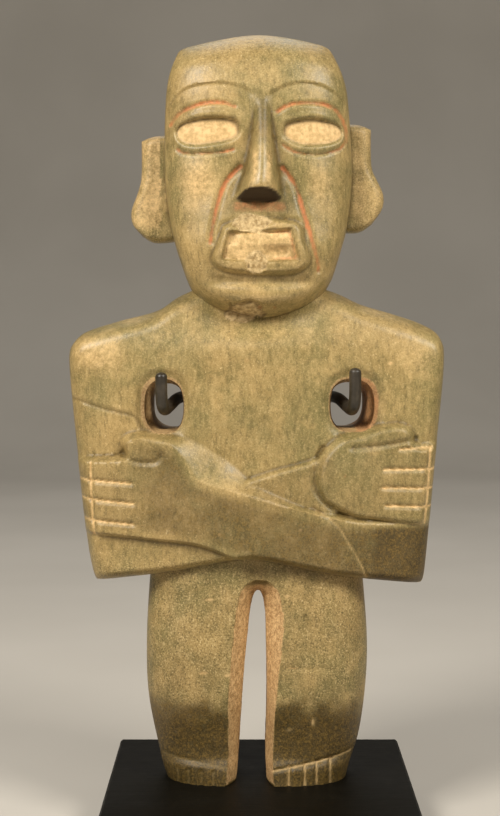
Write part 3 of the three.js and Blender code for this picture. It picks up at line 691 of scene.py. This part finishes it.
x, depth, z, normal, hollow = surface(figurine.data)
facing = ease(-normal[:, 1], 0.0, 0.5)
print("surface hollow from", round(float(hollow.min()), 3), "to", round(float(hollow.max()), 3), "mm")


# %% Masks for pigment, earth, breaks and painted shade
ARM_ARRIS = line([[79, 121.8], [50, 122.4], [24.4, 127.6], [-3.9, 135.6], [-13.1, 138.4], [-25.4, 141.7],
                  [-29.6, 145.3], [-33.5, 152]])


def near_lines(lines, inner, outer):
    """1 close to any of the lines in the front view, easing to 0 between inner and outer."""
    return np.max([1 - ease(np.abs(off_line(x, z, path)), inner, outer) for path in lines], axis=0)


def blot(cx, cz, wide, high):
    """A soft spot in the front view: the bell curve of the distance from its middle."""
    return np.exp(-((x - cx) / wide) ** 2 - ((z - cz) / high) ** 2)


patchy = 0.5 + 0.5 * grain(x, depth, z, 6, 61)
on_face = (depth > 6) & (z > 232)
on_front = ease(depth, 6, 11)
mouth = within(x, z, MOUTH_FIELD)
field = ease(mouth, -0.6, 0.8) * on_face
eye_floor = np.max([ease(within(x, z, eye), 0.3, 1.4) for eye in EYES], axis=0) * on_face
# Painted shadow at the top of each eye recess, under its rim, with some dirt
eye_top = eye_floor * ease(z, 305.6, 308.6)
breaks = np.max([broken(x, z, centre, half) for centre, half, _ in BREAKS], axis=0) * (depth > 12)
print("broken skin on", int((breaks > 0.3).sum()), "points")

# %% Red, and pale earth with painted highlights
pigment = np.max([0.95 * near_lines(FOLDS, 0.3, 1.9), 0.7 * near_lines(LID_LINES, 0.3, 2.1),
                  0.6 * near_lines(LOW_LINES, 0.2, 1.6)], axis=0)
under_nose = ease(x, -13, -9) * ease(15 - x, 0, 3) * ease(z, 263.5, 267.5) * (1 - ease(z, 269.6, 271))
mouth_red = field * (1 - ease(mouth, 0.8, 2.6)) * ease(x, 0, 12)
pigment = np.maximum(pigment * (0.3 + 0.95 * patchy), 0.55 * np.maximum(under_nose, mouth_red)) * on_face
spots = (0.5 * near_lines([KNEE_LINE], 0.2, 1.1) * patchy + 0.55 * blot(1.4, 222, 1.3, 1.3)
         + 0.5 * blot(8.3, 222, 1.3, 1.3) + 0.4 * blot(40.6, 144.5, 1, 1.8) + 0.3 * blot(-4.8, 197.6, 2, 2.4))
pigment = np.maximum(pigment, spots * (depth > 12))
left_foot = (x < 0) & (z < 20)
cuts = (np.maximum(near_lines(FINGERS, 0.2, 1.1),
                   near_lines(TOE_CUTS + TOE_EDGES, 0.2, 1.0) * np.where(left_foot, 0.45, 1)) * on_front)
lines_pale = np.maximum(cuts, np.maximum(0.6 * near_lines(CRACKS[:1], 0.1, 0.9),
    0.45 * near_lines([ARM_ARRIS], 0.1, 1.0)) * on_front)
# Polish on the nose facets and the chin: it lowers the roughness, and it also paints a highlight into the pale
# colour
polish_and_sheen = (np.exp(-((np.abs(x - nose_middle(z)) - 3.2) / 2.0) ** 2) * ease(z, 276, 280) * ease(298 - z, 0, 8)
          * (depth > 30))
polish_and_sheen = np.maximum(polish_and_sheen, 0.7 * blot(4, 227, 15, 4) * (depth > 20))
FLECKS = [(26.1, 29.7, 1.0, 2.2), (15.1, 26, 1.7, 0.9), (-21.8, 86.5, 2.2, 0.8), (-25, 53, 2.6, 0.8),
          (-13.5, 52, 2.0, 0.9), (14, 88, 1.5, 0.9), (30, 112, 0.8, 0.8), (52, 108, 0.9, 0.7),
          (-17, 118, 0.8, 0.9), (20, 120, 0.8, 0.8), (62, 196, 1.2, 0.9)]
flecks = 0.8 * np.sum([blot(*fleck) for fleck in FLECKS], axis=0) * on_front * (0.5 + patchy)
lip = ease(within(x, z, MOUTH_RIM), 0.4, 2.0) * (1 - ease(mouth, -1.2, 0)) * on_face
# Painted highlights on both shoulder corners, and a real pale crust beside the neck on the right
shoulder_sheen_and_crust = ((0.5 * blot(-74, 200, 17, 12) + 0.34 * blot(76, 198, 15, 12) + 0.4 * patchy * blot(23, 207, 9, 8))
             * on_front)
# Painted highlights on the cheeks, stronger on the left
cheek_sheen = (0.6 * blot(-27, 280, 11, 16) + 0.45 * blot(29, 280, 9, 14)) * on_face
ears_pale = np.where(x < 0, 0.5, 0.3) * (np.abs(x) > 45) * ease(z, 254, 262) * (0.75 + 0.5 * patchy)
# Paler on convex edges that face the front: worn edges with a painted highlight
arris_wear_and_highlight = np.clip(-hollow / 0.14, 0, 1)
# Pale colour: earth in the eyes and the mouth, pale cuts, lines and flecks, and the painted highlights above
pale = np.maximum.reduce([0.9 * eye_floor * (1 - 0.5 * eye_top), 0.6 * field, 0.25 * arris_wear_and_highlight * facing,
                          0.75 * lines_pale, 0.55 * polish_and_sheen, shoulder_sheen_and_crust, cheek_sheen, ears_pale, flecks, 0.3 * lip])
print("pigment on", int((pigment > 0.3).sum()), "points, earth on", int((pale > 0.3).sum()))

# %% Dark: dirt, stains and painted shade
# Painted shade on the underside of the nose, where it faces down
nose_underside_shade = (on_face * (depth > 26) * ease(276.4 - z, 0, 0.8) * (z > 269.6) * (np.abs(x - 0.8) < 13.8)
              * ease(-normal[:, 2], 0.2, 0.5))
# Darker along the upper ridge of the nose
nose_top = 0.62 * on_face * ease(z, 290, 304) * ease(322 - z, 0, 8) * swell(x - nose_middle(z), 6)
# The walls of the holes: tan, red on the right, and painted shade inside them
bore = np.max([1 - ease(around_hole(x, z, rings), 0.92, 1.04) for rings in HOLES], axis=0) * (depth < 20)
# Painted shade on the lower legs and the feet, which turn under and away from the light from above
low_leg_shade = 0.97 * ease(52 - z + 9 * (patchy - 0.5), 0, 26) * (1 - 0.6 * lines_pale)
forearms = (ease(within(x, z, NEAR_TOP), -3, 6) * (0.6 + 0.1 * ease(x, 10, 60))
            * (0.62 + 0.38 * ease(x, -64, -42)) + 0.3 * ease(within(x, z, FAR_HAND), -2, 5))
forearms = np.maximum(forearms, 0.4 * ease(within(x, z, FAR_FOOT), -1, 4) * ease(x, -20, 0))
forearms = np.maximum(forearms, 0.95 * ease(x, 40, 58) * ease(123 - z, 0, 5) * (z > 84)) * on_front
handled = np.maximum(forearms * (1 - 0.8 * lines_pale), 0.34 * ease(z, 326, 342)) * (0.86 + 0.28 * patchy)
# The legs below the arms are a little darker overall, in patches
legs_darkened = 0.31 * ease(104 - z, 0, 6) * (0.6 + 0.8 * patchy)
low_leg_shade = (np.maximum(low_leg_shade, 0.95 * ease(18 - z, 0, 8) * (1 - 0.6 * lines_pale))
           * (1 - 0.7 * np.clip(flecks, 0, 1)))
# Painted shade along the inner and outer edges of the mouth's rim, with dirt in these grooves
mouth_shade_lines = (0.55 * np.maximum(swell(within(x, z, MOUTH_RIM) + 0.7, 1.3), 0.8 * swell(mouth + 0.5, 0.9))
               * on_face * (1 - breaks))
crack_dark = np.maximum(0.6 * near_lines(CRACKS[1:], 0.1, 1.3), 0.3 * blot(-80, 182, 8, 7) * patchy) * on_front
chin = broken(x, z, *BREAKS[2][:2]) * (depth > 12)
# A darker ring along the edge of the chin break
chin_edge = 2.6 * chin * (1 - chin)
# Painted shade on faces that turn away from the front
turned_away_shade = 0.36 * (1 - ease(-normal[:, 1], 0.05, 0.6)) * ease(depth, -8, 3)
# Painted shade in the hollows, less in the cuts and the mouth
hollow_shade = np.clip(hollow / 0.14, 0, 1) * (1 - cuts) * (1 - 0.75 * ease(mouth, -2.4, -0.4) * on_face)
# Darker on faces turned upwards, above the legs: painted shade, with some dirt
upward = ease(normal[:, 2], 0.45, 0.85) * (z > 120)
# Dark colour: dirt and stains, the darker forearms, head top and legs, the crack, and the painted shade above
dark = np.maximum.reduce([nose_top, 0.7 * hollow_shade, low_leg_shade, 0.5 * bore, 0.4 * upward, 0.35 * eye_top, handled,
                          legs_darkened, crack_dark, turned_away_shade, mouth_shade_lines, chin_edge])
slot_wall = (ease(95 - z, 0, 4) * (np.abs(x - 0.5) < 15)
             * ease(np.abs(normal[:, 0]) + np.maximum(-normal[:, 2], 0), 0.35, 0.75) * (z > 0.5))
tan = np.maximum(slot_wall * np.where(x < -1, 0.72, 0.95), 0.8 * bore)
dark = dark * (1 - 0.7 * slot_wall)
pigment = np.maximum(pigment, 0.45 * bore * (x > 46))
grit = np.clip(0.3 + 0.7 * ease(112 - z, 0, 14) + 0.6 * (np.abs(x) > 45) * ease(z, 240, 250)
               + 0.3 * ease(z, 330, 345) + 0.3 * forearms, 0, 1)
print("dark on", int((dark > 0.3).sum()), "points, sawn walls", int((tan > 0.3).sum()))

# %% Store the tints
CREASE = math.radians(50)


def smooth(piece):
    """Smooth shading that keeps the creases sharper than the angle."""
    piece.data.shade_smooth()
    piece.data.set_sharp_from_angle(angle=CREASE)


def store(mesh, name, red, green, blue, alpha):
    """Writes four fields as one colour attribute on the points."""
    layer = mesh.attributes.new(name, "FLOAT_COLOR", "POINT")
    layer.data.foreach_set("color", np.clip(np.stack([red, green, blue, alpha], axis=-1), 0,
        1).astype(np.float32).ravel())


# First attribute: pigment, pale earth with painted highlights, dark dirt with painted shade, and grit
store(figurine.data, "tints", pigment, pale, dark, grit)
# Second attribute: sawn walls, breaks, the painted shade under the nose, and polish for the roughness
store(figurine.data, "wear_and_shade", tan, breaks, nose_underside_shade, np.maximum(polish_and_sheen, shoulder_sheen_and_crust))
smooth(figurine)
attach(figurine, "root")
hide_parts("figurine")
print("attributes", [layer.name for layer in figurine.data.color_attributes])

# %% [markdown]
# ## The hook rods
# Each rod rises behind a leg, bends forward through the armpit hole and turns up in front of the chest. It is
# a round bar: a circle carried along one smooth path, closed flat at the foot and domed at the tip.

# %% Hook rods
ROD_RADIUS, RING_POINTS = 2.8, 28
ROD_ROUTE = np.array([[27, 33.5, -14], [27, 33.5, 80], [27, 33.5, 155], [28.5, 32.6, 169], [33.2, 26, 177],
                      [37.4, 8, 178.4], [41, -12, 175.6], [42.6, -20.4, 174.8], [43.4, -24.8, 177.4],
                      [43.8, -25.8, 182.6], [43.8, -25.8, 188]])


def hook_rod(name, side, shift, tip):
    """Circle of the rod's radius carried along the route, its planes kept square to the path; the last rings
    shrink with the cosine while they advance with the sine, which makes the dome."""
    route = ROD_ROUTE * [side, 1, 1] + [shift, 0, 0]
    route[-1, 2] = tip
    run = np.concatenate([[0], np.cumsum(np.linalg.norm(np.diff(route, axis=0), axis=1))])
    along = np.unique(np.concatenate([np.linspace(0, run[2], 12), np.linspace(run[2], run[-1], 90)]))
    path = np.stack([through(np.stack([run, route[:, k]], axis=1))(along) for k in range(3)], axis=1)
    ahead = np.gradient(path, along, axis=0)
    dome = np.linspace(0, np.pi / 2, 9)[1:-1]
    radius = np.concatenate([np.full(len(path), ROD_RADIUS), ROD_RADIUS * np.cos(dome)])
    path = np.vstack([path, path[-1] + ROD_RADIUS * 0.8 * np.sin(dome)[:, None] * [0, 0, 1]])
    ahead = np.vstack([ahead, np.tile([0.0, 0.0, 1.0], (len(dome), 1))])
    ahead = ahead / np.linalg.norm(ahead, axis=1)[:, None]
    flat = np.array([59.3, 16.8 * side, 0.0]) / 61.6
    sideways = flat - (ahead @ flat)[:, None] * ahead
    sideways = sideways / np.linalg.norm(sideways, axis=1)[:, None]
    upwards = np.cross(ahead, sideways)
    turn = np.linspace(0, 2 * np.pi, RING_POINTS, endpoint=False)
    ring = np.cos(turn)[None, :, None] * sideways[:, None] + np.sin(turn)[None, :, None] * upwards[:, None]
    place = path[:, None] + radius[:, None, None] * ring
    index = np.arange(len(place) * RING_POINTS).reshape(-1, RING_POINTS)
    after = np.roll(index, -1, axis=1)
    walls = np.stack([index[:-1], after[:-1], after[1:], index[1:]], axis=-1).reshape(-1, 4)
    ends = [index[0, ::-1].tolist(), index[-1].tolist()]
    rod = solid(name, placed(place[..., 0], -place[..., 1], place[..., 2]), walls.tolist() + ends)
    smooth(rod)
    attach(rod, "root")
    return rod


rods = [hook_rod("bent_rod_left", -1, 0.0, 190.0), hook_rod("bent_rod_right", 1, 1.4, 192.0)]
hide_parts("hook_rod_left")
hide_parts("hook_rod_right")
print("rods:", [len(rod.data.polygons) for rod in rods], "faces")

# %% [markdown]
# ## Writing finishes as expressions
# A finish is a small sum: a colour mixed by masks, a roughness, a bump. One class wraps a node socket, so that
# plus, minus, times and the rest on values add Math nodes, and one method adds any other node.


# %% Sockets as expressions
class Wire:
    """A socket of a node tree that can be used in expressions."""

    def __init__(self, tree, socket=None):
        self.tree, self.socket = tree, socket

    def node(self, kind, settings=None, inputs=None, out=0):
        """Adds a node: its settings first, then the values or links of its sockets, and gives one output."""
        made = self.tree.nodes.new(kind)
        for name, value in (settings or {}).items():
            setattr(made, name, value)
        for name, value in (inputs or {}).items():
            if isinstance(value, Wire):
                self.tree.links.new(value.socket, made.inputs[name])
            else:
                made.inputs[name].default_value = value
        return Wire(self.tree, made.outputs[out])

    def math(self, operation, *values):
        return self.node("ShaderNodeMath", {"operation": operation}, dict(enumerate(values)))

    def __add__(self, other):
        return self.math("ADD", self, other)

    def __sub__(self, other):
        return self.math("SUBTRACT", self, other)

    def __rsub__(self, other):
        return self.math("SUBTRACT", other, self)

    def __mul__(self, other):
        return self.math("MULTIPLY", self, other)

    def clamp(self, low, high):
        """Eases from 0 at low to 1 at high."""
        return self.node("ShaderNodeMapRange", {"interpolation_type": "SMOOTHSTEP"}, {0: self, 1: low, 2: high})

    def tint(self, base, colour):
        """Mixes a colour over another by this mask."""
        return self.node("ShaderNodeMix", {"data_type": "RGBA"}, {0: self, 6: base, 7: colour}, out=2)

    __radd__, __rmul__ = __add__, __mul__


def srgb(red, green, blue):
    """A display colour of 0 to 255 as the linear colour that shaders use."""
    part = np.array([red, green, blue]) / 255
    return (*np.where(part <= 0.04045, part / 12.92, ((part + 0.055) / 1.055) ** 2.4).tolist(), 1.0)


def new_finish(name):
    """A material with its object coordinates, and its shader to plug into."""
    material = bpy.data.materials.new(name)
    material.use_nodes = True
    tree = material.node_tree
    shader = next(node for node in tree.nodes if node.type == "BSDF_PRINCIPLED")
    return material, shader, Wire(tree).node("ShaderNodeTexCoord", out=3)


def noise(place, scale, detail=3.0, rough=0.55):
    return place.node("ShaderNodeTexNoise", None,
                      {"Vector": place, "Scale": scale, "Detail": detail, "Roughness": rough})


def coat(material, shader, colour, rough, bump):
    """Plugs in the three sockets that change over a surface."""
    for name, value in (("Base Color", colour), ("Roughness", rough), ("Normal", bump)):
        material.node_tree.links.new(value.socket, shader.inputs[name])


def fields(place, name):
    """The four fields of a colour attribute: its red, green and blue, and its alpha."""
    read = place.node("ShaderNodeAttribute", {"attribute_name": name})
    parts = [place.node("ShaderNodeSeparateColor", None, {0: read}, out=k) for k in range(3)]
    return parts + [place.node("ShaderNodeAttribute", {"attribute_name": name}, out=3)]


def stretched(place, sx, sy, sz):
    return place.node("ShaderNodeMapping", None, {"Vector": place, "Scale": (sx, sy, sz)})


print("mid tan is", [round(c, 3) for c in srgb(178, 151, 96)])

# %% [markdown]
# ## The stone
# The stone is an olive-tan greenstone with a worn polish. Broad clouds shift it between tan and grey-green, a
# fine upright grain runs through it, and it is full of small pale and dark specks. Earth, pigment and dirt lie
# over it where the attributes say, together with painted highlights and painted shade, broken up by noise so
# that no edge looks drawn. Breaks and sawn walls are rougher than the polished skin.

# %% Stone finish
stone, shader, place = new_finish("greenstone_skin")
pigment_in, earth_and_highlight_in, dirt_and_shade_in, grit_in = fields(place, "tints")
tan_in, break_in, nose_shade_in, polish_in = fields(place, "wear_and_shade")
clouds = noise(place, 22, 4, 0.6)
patches = noise(place, 85, 5, 0.65)
streaks = noise(stretched(place, 1, 1, 0.35), 520, 3, 0.65)
fine = noise(place, 1300, 3, 0.7)
crumb = noise(place, 520, 3, 0.6)
specks = noise(place, 760, 2, 0.5)
colour = clouds.clamp(0.34, 0.68).tint(srgb(132, 119, 73), srgb(162, 136, 85))
colour = (patches.clamp(0.48, 0.72) * 0.5).tint(colour, srgb(194, 163, 106))
colour = (patches.clamp(0.5, 0.28) * 0.5).tint(colour, srgb(94, 88, 50))
grit_share = 0.2 + grit_in * 0.8
colour = (streaks.clamp(0.5, 0.7) * 0.28).tint(colour, srgb(202, 174, 120))
colour = (streaks.clamp(0.5, 0.3) * 0.4).tint(colour, srgb(84, 73, 38))
colour = (fine.clamp(0.52, 0.7) * grit_share * 0.75).tint(colour, srgb(218, 191, 138))
colour = (fine.clamp(0.48, 0.3) * grit_share * 0.8).tint(colour, srgb(58, 48, 22))
pale_speck = specks.clamp(0.66, 0.76) * clouds.clamp(0.42, 0.6)
colour = (pale_speck * 0.6).tint(colour, srgb(232, 204, 150))
print("stone skin:", len(stone.node_tree.nodes), "nodes")

# %% Earth, pigment, dirt and painted light and shade on the stone
ragged = (crumb - 0.5) * 1.1 + (fine - 0.5) * 0.5
# Pale earth, and the painted highlights, over the stone
earth_and_highlight = (earth_and_highlight_in + ragged * earth_and_highlight_in).clamp(0.1, 0.9)
colour = (earth_and_highlight * 0.85).tint(colour, (patches + crumb).clamp(0.75, 1.2).tint(srgb(200, 164, 108),
    srgb(238, 200, 142)))
sawn = (tan_in + ragged * 0.5).clamp(0.2, 0.85) * 0.92
colour = sawn.tint(colour, (fine + crumb).clamp(0.7, 1.3).tint(srgb(162, 122, 76), srgb(230, 192, 138)))
broken_skin = (break_in + ragged * 0.5).clamp(0.25, 0.7)
colour = (broken_skin * 0.8).tint(colour, crumb.clamp(0.24, 0.72).tint(srgb(142, 114, 68), srgb(222, 194, 144)))
# Dirt, and the painted shade, over the stone
dirt_and_shade = (dirt_and_shade_in + ragged * dirt_and_shade_in).clamp(0.05, 1.0)
colour = (dirt_and_shade * 0.92).tint(colour, (fine + crumb).clamp(0.75, 1.35).tint(srgb(40, 29, 6), srgb(112, 88, 38)))
red = (pigment_in + ragged * 1.3 * pigment_in).clamp(0.15, 0.95)
colour = (red * 0.72).tint(colour, srgb(206, 124, 74))
# Painted shade under the nose
colour = (nose_shade_in * 0.95).tint(colour, srgb(46, 30, 12))
rough = (0.42 - polish_in * 0.2 + (patches - 0.5) * 0.3 + (fine - 0.5) * 0.2 + earth_and_highlight * 0.16 + red * 0.2
         + dirt_and_shade * 0.1 + break_in * 0.3 + tan_in * 0.25 + nose_shade_in * 0.4)
height = ((fine - 0.5) * grit_share * 0.5 + (crumb - 0.5) * (0.5 + break_in * 2.0 + tan_in * 1.2)
          - pale_speck * 0.1)
bump = place.node("ShaderNodeBump", None, {"Strength": 0.4, "Distance": 0.0006, "Height": height})
coat(stone, shader, colour, rough, bump)
shader.inputs["Specular IOR Level"].default_value = 0.42
figurine.data.materials.clear()
figurine.data.materials.append(stone)
print("stone finish:", len(stone.node_tree.nodes), "nodes")

# %% [markdown]
# ## The stand's finishes
# The rods are steel with a satin dark brown-black paint that shows faint brush streaks and rubbed spots. The
# base is a black-painted wooden block: nearly even, with fine grain telegraphing through, dust and smudges.

# %% Rod finish
rod_paint, shader, place = new_finish("rod_black_paint")
smudge = noise(place, 160, 4, 0.6)
brush = noise(stretched(place, 1, 1, 0.15), 900, 3, 0.6)
colour = smudge.clamp(0.4, 0.7).tint(srgb(44, 38, 28), srgb(62, 54, 42))
colour = (brush.clamp(0.55, 0.8) * 0.4).tint(colour, srgb(84, 74, 58))
rough = 0.42 + (smudge - 0.5) * 0.3
bump = place.node("ShaderNodeBump", None, {"Strength": 0.2, "Distance": 0.0003, "Height": brush})
coat(rod_paint, shader, colour, rough, bump)
for rod in rods:
    rod.data.materials.append(rod_paint)
print("rod paint:", len(rod_paint.node_tree.nodes), "nodes")

# %% Base finish
base_paint, shader, place = new_finish("base_black_paint")
smudge = noise(place, 45, 5, 0.6)
wood = noise(stretched(place, 0.06, 1, 1), 900, 4, 0.6)
dust = noise(place, 2200, 2, 0.5)
colour = smudge.clamp(0.4, 0.75).tint(srgb(8, 7, 4), srgb(16, 14, 9))
colour = (dust.clamp(0.68, 0.8) * 0.25).tint(colour, srgb(74, 67, 55))
rough = 0.5 + (smudge - 0.5) * 0.35 + (wood - 0.5) * 0.12
bump = place.node("ShaderNodeBump", None, {"Strength": 0.25, "Distance": 0.0004, "Height": wood})
coat(base_paint, shader, colour, rough, bump)
shader.inputs["Specular IOR Level"].default_value = 0.1
base_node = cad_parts["stand_base"]
for slot in base_node.material_slots:
    slot.material = base_paint
print("base paint:", len(base_paint.node_tree.nodes), "nodes on", len(base_node.material_slots), "slot")

# %% [markdown]
# ## Floor, light and camera
# Two soft lights stand above, left and right, and the camera has a long lens at chest height. Half of its view
# downwards is a tilt and half a lens shift, so that upright lines stay nearly upright. The floor is a plain pale
# sheet that sweeps up behind the object.

# %% Floor
sweep = np.linspace(0, np.pi / 2, 17)
profile = np.vstack([[[-3.0, 0.0]], np.stack([1.6 + 0.9 * np.sin(sweep), 0.9 - 0.9 * np.cos(sweep)], axis=1),
                     [[2.5, 4.0]]])
sides = np.linspace(-4, 4, 5)
grid = np.stack([np.repeat(sides[None, :], len(profile), 0), np.repeat(profile[:, :1], 5, 1),
                 np.repeat(profile[:, 1:], 5, 1)], axis=-1)
index = np.arange(grid.shape[0] * 5).reshape(-1, 5)
faces = np.stack([index[:-1, :-1], index[:-1, 1:], index[1:, 1:], index[1:, :-1]], axis=-1).reshape(-1, 4)
floor = solid("pale_floor", grid, faces.tolist())
floor.data.shade_smooth()
floor_paper, shader, place = new_finish("pale_paper")
tone = noise(place, 3, 3, 0.5).clamp(0.3, 0.7).tint(srgb(186, 180, 170), srgb(194, 188, 178))
floor_paper.node_tree.links.new(tone.socket, shader.inputs["Base Color"])
shader.inputs["Roughness"].default_value = 0.9
floor.data.materials.append(floor_paper)
print("floor:", len(faces), "faces")


# %% Lights
def soft_light(name, place, aim, size, power, colour):
    """A square soft box at a place, turned so that its back points away from the aim."""
    data = bpy.data.lights.new(name, "AREA")
    data.size, data.energy, data.color = size, power, colour
    lamp = bpy.data.objects.new(name, data)
    x_away, y_away, z_away = (p - a for p, a in zip(place, aim))
    lamp.location = place
    lamp.rotation_euler = (math.atan2(math.hypot(x_away, y_away), z_away), 0,
                           math.atan2(y_away, x_away) + math.pi / 2)
    bpy.context.collection.objects.link(lamp)
    return lamp


AIM = (0.0, 0.0, 0.22)
lamps = [soft_light("key_left", (-0.7, -0.82, 1.04), AIM, 0.42, 18.6, (1.0, 0.955, 0.88)),
         soft_light("key_right", (0.74, -0.72, 1.02), AIM, 0.42, 13.2, (1.0, 0.955, 0.88)),
         soft_light("back_top", (0.0, 0.9, 1.6), AIM, 0.8, 7.0, (1.0, 1.0, 1.0))]
world = bpy.data.worlds.new("studio")
bpy.context.scene.world = world
world.use_nodes = True
world.node_tree.nodes["Background"].inputs["Color"].default_value = (0.93, 0.9, 0.85, 1)
world.node_tree.nodes["Background"].inputs["Strength"].default_value = 0.18
bpy.context.scene.view_settings.view_transform = "Standard"
print("lamps", [lamp.name for lamp in lamps])

# %% Camera
CAMERA_SIDE, CAMERA_DISTANCE, CAMERA_HEIGHT = -4.6, 780.0, 223.7
FRAME_ROWS, FOCAL_ROWS, TILT_ROWS, SHIFT_ROWS = 816, 1645.6, 47.5, 57
lens = bpy.data.cameras.new("studio_camera")
lens.sensor_fit, lens.sensor_height, lens.lens = "VERTICAL", 36.0, 72.6
lens.shift_y = -SHIFT_ROWS / FRAME_ROWS
lens.clip_start, lens.clip_end = 0.05, 20.0
camera = bpy.data.objects.new("studio_camera", lens)
camera.location = (CAMERA_SIDE * 0.001, (FIGURE_Y - CAMERA_DISTANCE) * 0.001,
                   (BASE_HEIGHT + CAMERA_HEIGHT) * 0.001)
camera.rotation_euler = (math.pi / 2 - math.atan2(TILT_ROWS, FOCAL_ROWS), 0, 0)
bpy.context.collection.objects.link(camera)
bpy.context.scene.camera = camera
print("camera at", tuple(round(c, 3) for c in camera.location))
